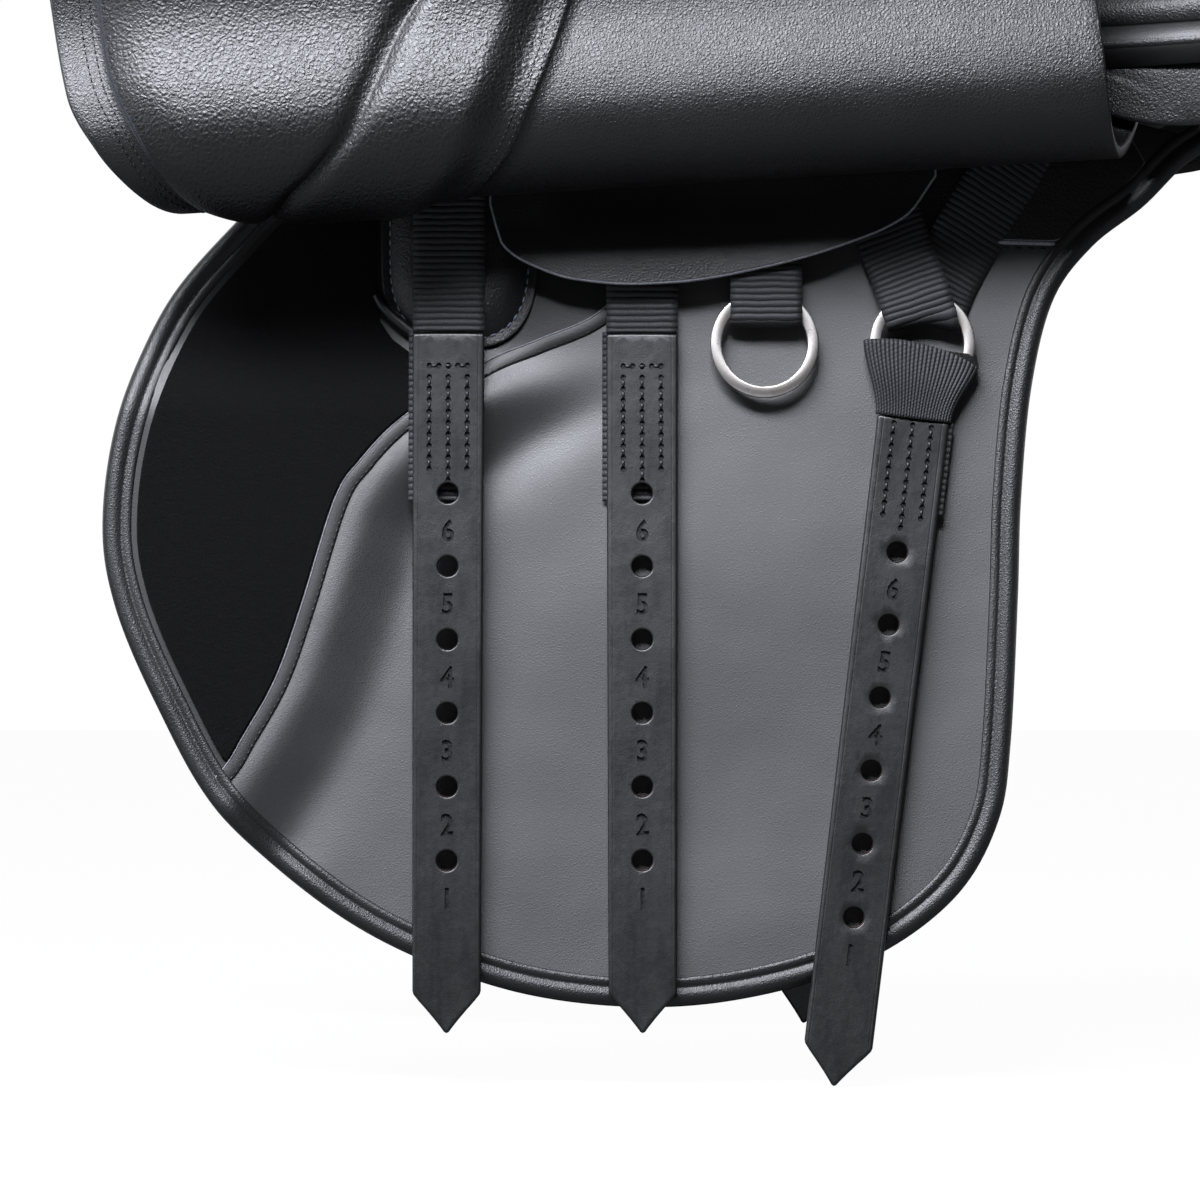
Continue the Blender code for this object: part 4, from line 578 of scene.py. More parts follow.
def ribbon(name, centre, across, widths, thick, side, looks, steps):
    # a flat web along a smooth line; UV runs across and along in metres
    spread = [tuple(p) + tuple(Vector(a).normalized()) + (w,) for p, a, w in zip(centre, across, widths)]
    fine = evenPoints(spread, steps)
    middle = [Vector(p[:3]) for p in fine]
    run = [0.0]
    for a, b in zip(middle, middle[1:]):
        run.append(run[-1] + (b - a).length)
    profile = [(-1 + 2 * j / 10, 1) for j in range(11)] + [(1 - 2 * j / 10, -1) for j in range(11)]
    rings, uvs = [], []
    for k, p in enumerate(middle):
        ahead = middle[min(k + 1, steps - 1)] - middle[max(k - 1, 0)]
        wide = Vector(fine[k][3:6])
        up = ahead.cross(wide).normalized()
        wide = up.cross(ahead).normalized()
        if wide.dot(Vector(fine[k][3:6])) < 0:
            wide = -wide
        half = fine[k][6] / 2
        ring, uv = [], []
        for s, t in profile:
            soft = (1 - abs(s) ** 6) * (1 - edgeShare) + edgeShare if abs(s) < 1 else edgeShare * 0.7
            ring.append(p + wide * s * half + up * t * thick / 2 * soft)
            uv.append((s * half / 1000, run[k] / 1000))
        rings.append(ring)
        uvs.append(uv)
    return tube(name, rings, side, looks, uvs=uvs)


# Stitches: one Geometry Nodes tree lays a thread at even steps along rows of points
def stitchTree():
    tree = bpy.data.node_groups.new("stitchRows", "GeometryNodeTree")
    face = tree.interface
    face.new_socket("Geometry", in_out="INPUT", socket_type="NodeSocketGeometry")
    sockets = {}
    for name in ("Pitch", "Length", "Width", "Height", "Lift", "Finish"):
        kind = "NodeSocketMaterial" if name == "Finish" else "NodeSocketFloat"
        sockets[name] = face.new_socket(name, in_out="INPUT", socket_type=kind).identifier
    face.new_socket("Geometry", in_out="OUTPUT", socket_type="NodeSocketGeometry")

    def add(kind, values=None, **settings):
        node = tree.nodes.new(kind)
        for key, value in settings.items():
            setattr(node, key, value)
        for key, value in (values or {}).items():
            if isinstance(value, bpy.types.NodeSocket):
                tree.links.new(value, node.inputs[key])
            else:
                node.inputs[key].default_value = value
        return node

    given = add("NodeGroupInput").outputs
    curve = add("GeometryNodeMeshToCurve", {0: given["Geometry"]})
    rows = add("GeometryNodeResampleCurve", {"Curve": curve.outputs[0], "Length": given["Pitch"]},
               mode="LENGTH")
    facing = add("GeometryNodeInputNamedAttribute", {"Name": "facing"}, data_type="FLOAT_VECTOR")
    ahead = add("GeometryNodeInputTangent")
    first = add("FunctionNodeAlignRotationToVector", {"Vector": ahead.outputs[0]}, axis="X")
    turn = add("FunctionNodeAlignRotationToVector",
               {"Rotation": first.outputs[0], "Vector": facing.outputs[0]}, axis="Z", pivot_axis="X")
    ball = add("GeometryNodeMeshUVSphere", {"Segments": 6, "Rings": 4, "Radius": 0.5})
    size = add("ShaderNodeCombineXYZ", {0: given["Length"], 1: given["Width"], 2: given["Height"]})
    thread = add("GeometryNodeTransform", {"Geometry": ball.outputs[0], "Scale": size.outputs[0]})
    smooth = add("GeometryNodeSetShadeSmooth", {"Geometry": thread.outputs[0]})
    laid = add("GeometryNodeInstanceOnPoints",
               {"Points": rows.outputs[0], "Instance": smooth.outputs[0], "Rotation": turn.outputs[0]})
    rise = add("ShaderNodeVectorMath", {0: facing.outputs[0], "Scale": given["Lift"]}, operation="SCALE")
    moved = add("GeometryNodeTranslateInstances",
                {"Instances": laid.outputs[0], "Translation": rise.outputs[0], "Local Space": False})
    real = add("GeometryNodeRealizeInstances", {"Geometry": moved.outputs[0]})
    painted = add("GeometryNodeSetMaterial", {"Geometry": real.outputs[0], "Material": given["Finish"]})
    add("NodeGroupOutput", {0: painted.outputs[0]})
    return tree, sockets


stitchNodes, stitchSockets = stitchTree()
threadSizes = {  # in mm
    "fine": {"pitch": 2.6, "length": 2.0, "width": 0.55, "height": 0.45, "lift": 0.05, "look": "thread"},
    "blue": {"pitch": 3.4, "length": 2.6, "width": 0.7, "height": 0.6, "lift": 0.1, "look": "blueThread"},
    "heavy": {"pitch": 4.0, "length": 2.7, "width": 1.25, "height": 0.9, "lift": 0.0, "look": "thread"},
}


def stitched(name, rows, kind, side):  # rows of (point, facing) pairs in mm
    size = threadSizes[kind]
    points, facings, edges = [], [], []
    for row in rows:
        start = len(points)
        points += [placed(p, side) for p, _ in row]
        facings += [Vector((n[0], n[1] * side, n[2])).normalized() for _, n in row]
        edges += [(start + k, start + k + 1) for k in range(len(row) - 1)]
    mesh = bpy.data.meshes.new(name)
    mesh.from_pydata(points, edges, [])
    attribute = mesh.attributes.new("facing", "FLOAT_VECTOR", "POINT")
    attribute.data.foreach_set("vector", [c for n in facings for c in n])
    obj = bpy.data.objects.new(name, mesh)
    scene.collection.objects.link(obj)
    modifier = obj.modifiers.new("stitches", "NODES")
    modifier.node_group = stitchNodes
    for key in ("pitch", "length", "width", "height", "lift"):
        modifier[stitchSockets[key.title()]] = size[key] / 1000
    modifier[stitchSockets["Finish"]] = finishes[size["look"]]
    return settled(obj)


def finished(piece, body, slot, *nodes):
    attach(piece, body)
    if nodes:
        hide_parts(*nodes)
    return piece


# Seat lines, shared by the seat, its welt and what hangs from them
seatCrown = throughPoints([(-188, 168), (-178, 183), (-150, 174), (-110, 142), (-60, 117), (0, 105),
                           (40, 107), (90, 118), (126, 131), (170, 153), (210, 181), (245, 209), (262, 217),
                           (278, 206)])
weltOut = throughPoints([(-188, 32), (-178, 41), (-150, 52), (-110, 60), (-60, 68), (-10, 82), (40, 104),
                         (90, 128), (126, 143), (170, 152), (210, 146), (245, 122), (262, 98), (278, 62)])
weltUp = throughPoints([(-188, 138), (-178, 136), (-150, 124), (-110, 102), (-60, 84), (-10, 70), (40, 61),
                        (90, 57), (126, 58), (170, 65), (210, 82), (245, 110), (262, 138), (278, 168)])
wingOut = throughPoints([(-160, 86), (-134, 90), (-60, 93), (-30, 94)])
wingUp = throughPoints([(-160, 43), (-134, 41), (-60, 41), (-30, 45)])


def seatTop(x, share):
    up = (1 - share * share) ** 0.8 if abs(share) < 1 else 0.0
    return share * weltOut(x), mix(weltUp(x), seatCrown(x), up)


def underSeat(x, share, drop=0.0):
    y, z = seatTop(x, share)
    return y * 0.985, z - mix(14.0, 8.0, abs(share)) - drop


def wingFace(x, t):
    y, z = underSeat(x, 1.0, 0.9)
    return mix(y, wingOut(x), t), mix(z, wingUp(x), t)


def wingNormal(x):
    y0, z0 = wingFace(x, 0)
    y1, z1 = wingFace(x, 1)
    length = math.hypot(y1 - y0, z1 - z0)
    return (z0 - z1) / length, (y1 - y0) / length


# Sweat flap lines
blockEdge = [(-66, -26), (-83.5, -43.5), (-105, -53), (-123.5, -61), (-151, -80), (-165, -94.5), (-173, -107),
             (-184, -143), (-193, -169), (-204, -189), (-213, -203), (-236, -226)]
flapEdge = evenPoints([(-190, 15), (-210, -5), (-236, -36), (-252, -74), (-257.5, -112), (-253, -142),
                       (-238, -177), (-217, -213), (-184, -243), (-150, -263), (-108, -277), (-62, -281),
                       (-20, -275), (14, -262), (40, -242), (54, -217), (58.5, -190), (61.5, -140),
                       (63, -105), (67, -66), (75, -35), (89, -16), (107, -2), (121, 12), (132, 19.5)], 268)


def flapFace(z):
    over = max(z - 10.0, 0.0)
    return 114.4 - 0.16 * z - 0.0083 * over * over


def blockDistance(x, z):
    best, sign = 1e9, 1.0
    for (x0, z0), (x1, z1) in zip(blockEdge, blockEdge[1:]):
        dx, dz = x1 - x0, z1 - z0
        t = min(max(((x - x0) * dx + (z - z0) * dz) / (dx * dx + dz * dz), 0.0), 1.0)
        d = math.hypot(x - x0 - t * dx, z - z0 - t * dz)
        if d < best:
            best, sign = d, (-1.0 if dx * (z - z0) - dz * (x - x0) < 0 else 1.0)
    return best * sign


def flapOuter(x, z):
    height = mix(2.2, 6.5, ramp(-x, 88, 133)) * ramp(-z, 50, 76)
    d = blockDistance(x, z)
    shape = 1 - ramp(d, 4, 30) + 0.1 * math.exp(-((d - 7) / 5) ** 2) - 0.16 * math.exp(-((d - 30) / 10) ** 2)
    return flapFace(z) + height * shape


softFolds = [  # folds and hollows in the sheet
    {"at": (-98, -76), "long": 34, "wide": 9, "turn": 33, "out": -0.9},
    {"at": (-84, -93), "long": 40, "wide": 13, "turn": 35, "out": 0.5},
    {"at": (-35, -208), "long": 52, "wide": 40, "turn": 0, "out": -1.3},
    {"at": (-50, -128), "long": 60, "wide": 34, "turn": 12, "out": 1.0},
    {"at": (40, -150), "long": 60, "wide": 13, "turn": 84, "out": -0.5},
    {"at": (-160, -160), "long": 50, "wide": 12, "turn": 68, "out": 0.8},
]


def sheetOuter(x, z):
    out = flapOuter(x, z)
    for fold in softFolds:
        c, s = math.cos(math.radians(fold["turn"])), math.sin(math.radians(fold["turn"]))
        dx, dz = x - fold["at"][0], z - fold["at"][1]
        along, across = dx * c + dz * s, dz * c - dx * s
        out += fold["out"] * math.exp(-(along / fold["long"]) ** 2 - (across / fold["wide"]) ** 2)
    return out


def faceNormal(x, z, at):
    dx, dz = (at(x + 1, z) - at(x - 1, z)) / 2, (at(x, z + 1) - at(x, z - 1)) / 2
    return (-dx, 1.0, -dz)


def rowOn(line, at, lift=0.0):  # points of a line in the XZ plane laid on a face, with its facing
    return [((x, at(x, z) + lift, z), faceNormal(x, z, at)) for x, z in line]


sweatFlap = {"thick": 5.0, "binding": 6.6, "top": 38.0, "step": 4.0}
# The binding's section: shares of its width in from the edge, mm out of the face
bindingSection = [(0.97, -5.6), (0.5, -7.0), (0.15, -5.9), (0, -2.5), (0.125, 0.6), (0.35, 1.5),
                  (0.575, 1.75), (0.8, 1.35), (0.95, 0.65), (1.025, 0.4), (1.1, 0.55), (1.175, 0.8),
                  (1.325, 0.85), (1.5, 0.7), (1.55, 0.2), (1.55, -0.6)]


def makeSweatFlap(label, side):
    rim = movedIn(flapEdge, sweatFlap["binding"] - 1.2)
    top = [(104, 28), (80, 34)] + [(x, sweatFlap["top"]) for x in range(50, -145, -10)] + [(-168, 34)]
    outline = rim[::2] + top
    near = [p for d in (-2.2, -0.8, 0.8, 2.2) for p in movedIn(evenPoints(blockEdge, 90), d)
            if inside(*p, outline) and distanceTo(*p, outline) > 2.5]
    sheet = slab(f"sweatFlapHide_{label}", outline, side, sheetOuter,
                 ["sweatFlapHide", "bindingHide", "blackHide", "suede", "suede"],
                 sweatFlap["thick"] * 0.9, 0.5, sweatFlap["step"], extra=near)
    for face in sheet.data.polygons:
        x, z = face.center.x * 1000, face.center.z * 1000
        if face.material_index == 0 and blockDistance(x, z) < 0 and x < -60:
            face.material_index = 2
    finished(sheet, "frame", "smooth_leather", f"sweat_flap_{label}")

    # rolled binding with a sewn groove and a flat inner lip
    profile = [(share * sweatFlap["binding"], up) for share, up in bindingSection]
    lines = [movedIn(flapEdge, d) for d, _ in profile]
    rings, uvs, run = [], [], 0.0
    for k in range(len(flapEdge)):
        if k:
            run += math.dist(flapEdge[k], flapEdge[k - 1])
        inward = lines[7][k]
        base = flapOuter(*inward)
        rings.append([(lines[j][k][0], base + up, lines[j][k][1]) for j, (_, up) in enumerate(profile)])
        uvs.append([(j * 1.3 / 1000, run / 1000) for j in range(len(profile))])
    binding = tube(f"flapBinding_{label}", rings, side, ["bindingHide"], uvs=uvs)
    finished(binding, "frame", "binding_leather", f"flap_binding_{label}")
    groove = movedIn(flapEdge, sweatFlap["binding"] * 1.025)
    rows = [rowOn(groove[2:-2], flapOuter, 0.25)]
    finished(stitched(f"bindingStitches_{label}", rows, "fine", side), "frame", "binding_leather")

    # sewn border along the edge of the block's field, with a light cut line above it
    border = [p for p in evenPoints(blockEdge, 140) if inside(*p, rim[::2] + top)]
    band = []
    for d, up in ((1.1, -0.4), (1.0, 0.3), (0.5, 0.55), (-1.6, 0.6), (-3.3, 0.6), (-3.8, 0.45), (-4.0, 0.1),
                  (-4.0, -0.4)):
        band.append([(x, flapOuter(x, z) + up, z) for x, z in movedIn(border, d)])
    rings = [[band[j][k] for j in range(len(band))] for k in range(len(border))]
    finished(tube(f"blockBorder_{label}", rings, side, ["blackHide"]), "frame", "smooth_leather")
    line = [(x, flapOuter(x, z) + 0.5, z) for x, z in movedIn(border, -3.9)]
    finished(roundTube(f"borderCutLine_{label}", line, 0.28, side, ["paleEdge"], sides=6), "frame",
             "smooth_leather")
    rows = [rowOn(movedIn(border, 0.35)[1:-1], flapOuter, 0.55)]
    finished(stitched(f"borderStitches_{label}", rows, "fine", side), "frame", "smooth_leather")

    # grained facing over the flap's top rear, sewn along a straight seam with a pale cut edge
    seam = [(24, -14.5), (50, -14.9), (75.5, -15.6)]
    facing = [(24, -13.4), (50, -13.8), (77, -14.4), (86, -7), (100, 5), (108, 13), (102, 24), (80, 31),
              (50, 35), (24, 35)]
    piece = slab(f"rearFacing_{label}", atEvenSteps(facing + facing[:1], 70)[:-1], side,
                 lambda x, z: flapFace(z) + 0.9, ["grainedHide", "paleEdge", "suede"], 0.8, 0.25)
    finished(piece, "frame", "grained_leather")
    line = [(x, flapFace(z) + 0.55, z + 0.3) for x, z in atEvenSteps(seam, 30)]
    finished(roundTube(f"facingCutEdge_{label}", line, 0.75, side, ["paleEdge"], sides=8), "frame",
             "smooth_leather")
    rows = [rowOn([(x, z - 1.6) for x, z in atEvenSteps(seam, 20)], lambda x, z: flapFace(z), 0.1)]
    finished(stitched(f"facingStitches_{label}", rows, "heavy", side), "frame", "smooth_leather")


blockPatch = {"clear": 12.2, "thick": 1.4, "rise": 1.6, "step": 2.6}


def patchOutline():
    clear = blockPatch["clear"]
    front = [p for p in movedIn(flapEdge, clear) if p[0] < -165 and p[1] > -199 and blockDistance(*p) < -4]
    rear = [p for p in movedIn(evenPoints(blockEdge[3:], 60), -4.6)
            if p[1] > -204 and distanceTo(*p, flapEdge) > clear]
    top = [(-126, -56), (-140, -54.5), (-151, -53.5), (-157, -49), (-161, -43), (-162.5, -25), (-162.5, -4),
           (-163, 12)]
    return front[::2] + rear[::-1] + top


def makeBlockPatch(label, side):
    def out(x, z):
        return flapOuter(x, z) + blockPatch["rise"] + 0.25 * noise.noise(Vector((x, z, side)) * 0.55)

    piece = slab(f"loopFastener_{label}", patchOutline(), side, out, ["fastener", "fastener", "suede"],
                 blockPatch["thick"], 0.5, blockPatch["step"])
    finished(piece, "frame", "loop_fastener", f"block_patch_{label}")


pocket = {"x": -133.5, "half": 27.5, "bottom": -52.5, "shoulder": -18, "top": 9.0, "flange": 3.2, "rise": 7.4}


def pocketLine(shrink):  # U of the pocket's edge, moved in
    x, turn = pocket["x"], pocket["shoulder"]
    half, bottom = pocket["half"] - shrink, pocket["bottom"] + shrink
    points = [(x - half, pocket["top"]), (x - half, turn)]
    for k in range(1, 24):
        a = math.pi * k / 24
        points.append((x - half * fuller(math.cos(a), 0.72), turn - (turn - bottom) * math.sin(a) ** 0.72))
    return points + [(x + half, turn), (x + half, pocket["top"])]


def makePocket(label, side):
    u = pocketLine(0)
    seam = atEvenSteps(pocketLine(pocket["flange"]), 120)

    def out(x, z):
        base = flapFace(z) + (1.5 if distanceTo(x, z, u) > 0 else 1.2)
        d = distanceTo(x, z, seam)
        if not inside(x, z, seam + [seam[0]]):
            return base + 0.4 * ramp(d, 0, 1.2)
        puff = (1 - (1 - min(d / 15.0, 1.0)) ** 2.6) * (pocket["rise"] - 1.6)
        folds = 0.35 * math.sin((x * 0.9 - z * 0.55) * 0.55)
        folds *= ramp(d, 1, 6) * (1 - ramp(d, 8, 16)) * ramp(x, -122, -112)
        return base + puff + folds + 0.3 * noise.noise(Vector((x, z, side * 9)) * 0.12) * ramp(d, 0, 6)

    outline = atEvenSteps(u, 110)
    outline += [(mix(outline[-1][0], outline[0][0], k / 16), pocket["top"]) for k in range(1, 16)]
    piece = slab(f"pointPocket_{label}", outline, side, out, ["grainedHide", "blackHide", "suede"], 0.8, 0.3,
                 1.9, extra=seam[1:-1])
    finished(piece, "frame", "grained_leather", f"point_pocket_{label}")
    rows = [rowOn(seam[3:-3], lambda x, z: flapFace(z) + 1.5, 0.35)]
    finished(stitched(f"pocketStitches_{label}", rows, "blue", side), "frame", "grained_leather")
    piping = [(-163, -33.5), (-160.5, -37.5), (-156, -42), (-151, -46), (-146, -49), (-141, -51)]
    line = [(x, flapFace(z) + 2.6, z) for x, z in atEvenSteps(piping, 30)]
    piece = roundTube(f"pocketPiping_{label}", line,
                      lambda t: 1.9 * math.sin(math.pi * (0.12 + 0.76 * t)) ** 0.5, side, ["blackHide"])
    finished(piece, "frame", "grained_leather")


webPlace = {"front": -137.0, "middle": -69.5}
web = {"wide": 25.0, "thick": 2.0, "looped": 1.9, "tailWide": 24.0, "tailThick": 1.3, "bend": 2.9}
strap = {"top": -47.3, "length": 242.0, "wide": 25.0, "tipWide": 23.5, "point": 14.4, "thick": 4.0,
         "round": 0.9, "hole": 7.0, "pitch": 25.4, "first": 56.0, "holes": 6,
         "off": {"front": 9.8, "middle": 3.4}, "lowOff": 2.5, "step": 2.8,
         "looks": ["strap", "strap", "suede", "holeWall", "strapMark"]}


def strapBack(which, z):
    t = (strap["top"] - z) / strap["length"]
    high = flapFace(strap["top"]) + strap["off"][which]
    return mix(high, flapFace(strap["top"] - strap["length"]) + strap["lowOff"], t)


def makeWeb(label, side, which):
    x = webPlace[which]
    off = strap["off"][which] + 0.8
    y, z = wingFace(x, 0.8)
    ny, nz = wingNormal(x)
    path = [(x, y + ny * 2.4, z + nz * 2.4), (x, flapFace(38) + 3.2, 40.2)]
    for z in (28.0, 12.0, -2.0, -16.0, -30.0, -40.0, strap["top"] + 0.3):
        here = mix(3.2, off, ramp(-z, -30, -8)) if which == "front" else off
        path.append((x, flapFace(z) + here, z))
    piece = ribbon(f"{which}Web_{label}", path, [(1, 0, 0)] * len(path), [web["wide"]] * len(path),
                   web["thick"], side, ["webbing"], 110)
    finished(piece, f"{which}_web_{label}", "webbing", f"{which}_web_{label}")
    # the web's sewn end runs on behind the strap, a little out of line with it
    path = [(x - 1.9, strapBack(which, z) - 0.75, z) for z in (strap["top"] + 0.6, -60, -80, -106)]
    tail = ribbon(f"{which}WebTail_{label}", path, [(1, 0, 0)] * 4, [web["tailWide"]] * 4, web["tailThick"],
                  side, ["webbing"], 50)
    finished(tail, f"{which}_strap_{label}", "webbing")


def strapShape(length):  # a strap hanging from (0, 0), with a blunt point
    half, low, tip = strap["wide"] / 2, strap["tipWide"] / 2, strap["point"]
    shoulder = -(length - tip)
    downs = [-2.0 - k * 4.0 for k in range(int((length - tip) / 4))]
    left = [(mix(-half, -low, z / shoulder), z) for z in downs]
    left += [(-low * share, shoulder - down) for share, down in (
        (1, 0), (0.97, 1.2), (0.82, 3.4), (0.6, 6.3), (0.36, 9.6), (0.17, 12.4), (0.07, tip - 0.4))]
    left.append((0, -length))
    right = [(-x, z) for x, z in reversed(left[:-1])]
    top = [(half - 0.6, -0.15), (half * 0.5, 0), (0, 0), (-half * 0.5, 0), (-half + 0.6, -0.15)]
    return [(-half, -0.8)] + left + right + [(half, -0.8)] + top


def strapHoles(first):
    radius = strap["hole"] / 2
    return [[(radius * math.cos(a), -first - n * strap["pitch"] + radius * math.sin(a)) for a in angles(28)]
            for n in range(strap["holes"])]


stitch = {"gap": 6.6, "pitch": 4.0, "pitWide": 1.0, "pitLong": 1.15}
digits = {"size": 10.2, "narrow": 0.88, "bold": 0.30}
digitLoops = {}


def glyph(digit):  # outlines of a plain number, 7.2 mm tall and centred on (0, 0)
    if digit not in digitLoops:
        curve = bpy.data.curves.new("digit", "FONT")
        curve.body, curve.align_x, curve.align_y = str(digit), "CENTER", "CENTER"
        curve.size, curve.resolution_u, curve.offset = digits["size"], 3, digits["bold"]
        text = bpy.data.objects.new("digit", curve)
        scene.collection.objects.link(text)
        mesh = bpy.data.meshes.new_from_object(text.evaluated_get(bpy.context.evaluated_depsgraph_get()))
        bpy.data.objects.remove(text)
        kit = bmesh.new()
        kit.from_mesh(mesh)
        bmesh.ops.remove_doubles(kit, verts=kit.verts, dist=0.04)
        loops, seen = [], set()
        for edge in kit.edges:
            if edge.is_boundary and edge not in seen:
                loop, at = [], edge.verts[0]
                while edge and edge not in seen:
                    seen.add(edge)
                    loop.append((at.co.x * digits["narrow"], at.co.y))
                    at = edge.other_vert(at)
                    edge = next((e for e in at.link_edges if e.is_boundary and e not in seen), None)
                if len(loop) > 3:
                    loops.append(loop)
        kit.free()
        digitLoops[digit] = loops
    return digitLoops[digit]


def stitchRows(boxTop, columns, withTop):  # (across, down) places of the pits of a strap's seams
    rows = [[(mix(-stitch["gap"], stitch["gap"], k / 4), boxTop) for k in range(5)]] if withTop else []
    for x, low in zip((-stitch["gap"], 0, stitch["gap"]), columns):
        count = int((boxTop - low) / stitch["pitch"] + 0.5)
        rows.append([(x, boxTop - k * stitch["pitch"]) for k in range(1 if withTop else 0, count + 1)])
    return rows


def pressedMarks(first, rows, side):  # pits of the seams, and numbers 6 to 1 under the holes
    marks = [[(x + stitch["pitWide"] * math.cos(q), z + stitch["pitLong"] * math.sin(q)) for q in angles(10)]
             for row in rows for x, z in row]
    for n in range(strap["holes"]):
        z = -first - (n + 0.53) * strap["pitch"]
        marks += [[(-side * x, z + up) for x, up in loop] for loop in glyph(strap["holes"] - n)]
    return marks


def strapThreads(name, body, side, at, rows):  # threads lie between the pits
    lines = []
    for row in rows:
        inner = [tuple(mix(a, b, 0.5) for a, b in zip(p, q)) for p, q in zip(row, row[1:])]
        if len(inner) > 1:
            lines.append([at(*p) for p in inner])
    finished(stitched(f"{name}Thread", lines, "heavy", side), body, "strap_leather")


def makeStrap(label, side, which):
    x0, z0, body = webPlace[which], strap["top"], f"{which}_strap_{label}"
    rows = stitchRows(-11.5, (-48, -51.5, -48) if which == "front" else (-46.5, -50.5, -46.5), True)

    def moved(points):
        return [(x0 + x, z0 + z) for x, z in points]

    # rings of points round the holes keep the face smooth there
    fan = moved([(r * math.cos(q), -strap["first"] - n * strap["pitch"] + r * math.sin(q))
                 for r in (4.4, 5.6) for n in range(strap["holes"]) for q in angles(20)])
    piece = slab(f"{which}Strap_{label}", moved(strapShape(strap["length"])), side,
                 lambda x, z: strapBack(which, z) + strap["thick"], strap["looks"], strap["thick"],
                 strap["round"], strap["step"], [moved(h) for h in strapHoles(strap["first"])],
                 [moved(m) for m in pressedMarks(strap["first"], rows, side)],
                 uvAt=lambda x, z: ((x - x0) / 1000, z / 1000), extra=fan)
    finished(piece, body, "strap_leather", f"{which}_strap_{label}")
    slope = (strapBack(which, -100) - strapBack(which, -200)) / 100

    def at(across, down):
        z = z0 + down
        return (x0 + across, strapBack(which, z) + strap["thick"], z), (0, 1, -slope)

    strapThreads(f"{which}Strap{label}", body, side, at, rows)


ringSizes = {"girth": {"x": 28.4, "z": -50.9, "outside": 37.0},
             "free": {"x": -26.7, "z": -50.9, "outside": 38.0}, "wide": 4.1, "deep": 3.3, "off": 6.1}


def flatRing(name, x, z, outside, side, outAt):
    wide, deep = ringSizes["wide"] / 2, ringSizes["deep"] / 2
    profile = [(-1, -0.62), (-0.8, -0.95), (-0.5, -1), (0.5, -1), (0.8, -0.95), (1, -0.62), (1, 0.62),
               (0.86, 0.92), (0.62, 1), (-0.62, 1), (-0.86, 0.92), (-1, 0.62)]
    loops = []
    for a in angles(72):
        out = outAt(z + (outside / 2 - 2) * math.sin(a))
        spread = [(outside / 2 - wide + across * wide, out + depth * deep) for across, depth in profile]
        loops.append([(x + r * math.cos(a), y, z + r * math.sin(a)) for r, y in spread])
    piece = tube(name, loops, side, ["steel"], closed=True)
    piece.data.set_sharp_from_angle(angle=math.radians(38))
    return piece


def makeRings(label, side):
    for which, node in (("girth", "girth_ring"), ("free", "free_ring")):
        r = ringSizes[which]
        piece = flatRing(f"{which}Ring_{label}", r["x"], r["z"], r["outside"], side,
                         lambda z: flapFace(z) + ringSizes["off"])
        finished(piece, f"{node}_{label}", "steel", f"{node}_{label}")


def foldedWeb(name, front, fold, rear, side):
    # front and rear are (x, out, z, lean) stations; the web is folded round a ring's wire between them
    stations = front + fold + rear
    across = [(math.cos(lean), math.sin(lean) * 0.16, math.sin(lean)) for *_, lean in stations]
    return ribbon(name, [s[:3] for s in stations], across, [web["wide"]] * len(stations), web["looped"], side,
                  ["webbing"], 150)


def makeRingWebs(label, side):
    def out(z):
        return flapFace(z) + ringSizes["off"]

    bend, turns = web["bend"], [math.pi * k / 5 for k in range(6)]
    r = ringSizes["free"]
    x, chord = r["x"] + 0.6, r["z"] + 11.2
    front = [(x, flapFace(z) + off, z, 0) for z, off in ((36.0, 2.6), (24.0, 1.8), (0.0, 2.2), (-12.0, 4.0))]
    front += [(x, flapFace(-24) + 8.0, -24.0, 0), (x, out(-30) + 3.4, -30.0, 0)]
    fold = [(x, out(chord) + bend * math.cos(a), chord - 1.6 - bend * math.sin(a), 0) for a in turns]
    rear = [(x, out(-32) - 2.9, -32.0, 0), (x, flapFace(-26) + 1.6, -26.0, 0)]
    piece = foldedWeb(f"ringTabWeb_{label}", front, fold, rear, side)
    finished(piece, "frame", "webbing", f"tab_web_{label}")
    chord = ringSizes["girth"]["z"] + 11.5
    lean, back = 0.36, -0.57
    front = [(1.5, 3.4, 33.0), (6.5, 3.0, 22.0), (12.5, 2.4, 4.0), (18.5, 4.2, -14.0), (22.5, 7.0, -25.0)]
    front = [(x, flapFace(z) + off, z, lean) for x, off, z in front]
    front.append((25.5, out(-34) + 3.3, -34.0, lean * 0.9))
    fold = [(mix(27.6, 31.0, k / 5), out(chord) + bend * math.cos(a), chord - 1.2 - bend * math.sin(a),
             mix(lean * 0.6, back * 0.5, k / 5)) for k, a in enumerate(turns)]
    rear = [(46.0, 2.3, -11.0), (57.0, 2.5, 7.0), (68.0, 3.4, 24.0), (72.0, 3.6, 30.0)]
    rear = [(x, flapFace(z) + off, z, back) for x, off, z in rear]
    rear.insert(0, (36.0, out(-28) - 3.0, -28.0, back * 0.8))
    piece = foldedWeb(f"girthRingWeb_{label}", front, fold, rear, side)
    finished(piece, "frame", "webbing", f"v_web_{label}")


rearStrap = {"tilt": math.radians(7.2), "drop": 1.0, "sleeve": 25.4, "sleeveDeep": 9.0, "length": 232.0,
             "topWide": 42.0, "lowWide": 26.5, "first": 47.0}


def rearOut(distance):
    total = rearStrap["drop"] + rearStrap["sleeve"] + rearStrap["length"]
    low = ringSizes["girth"]["z"] - total * math.cos(rearStrap["tilt"])
    return mix(flapFace(ringSizes["girth"]["z"]) + ringSizes["off"], flapFace(low) + 4.5, distance / total)


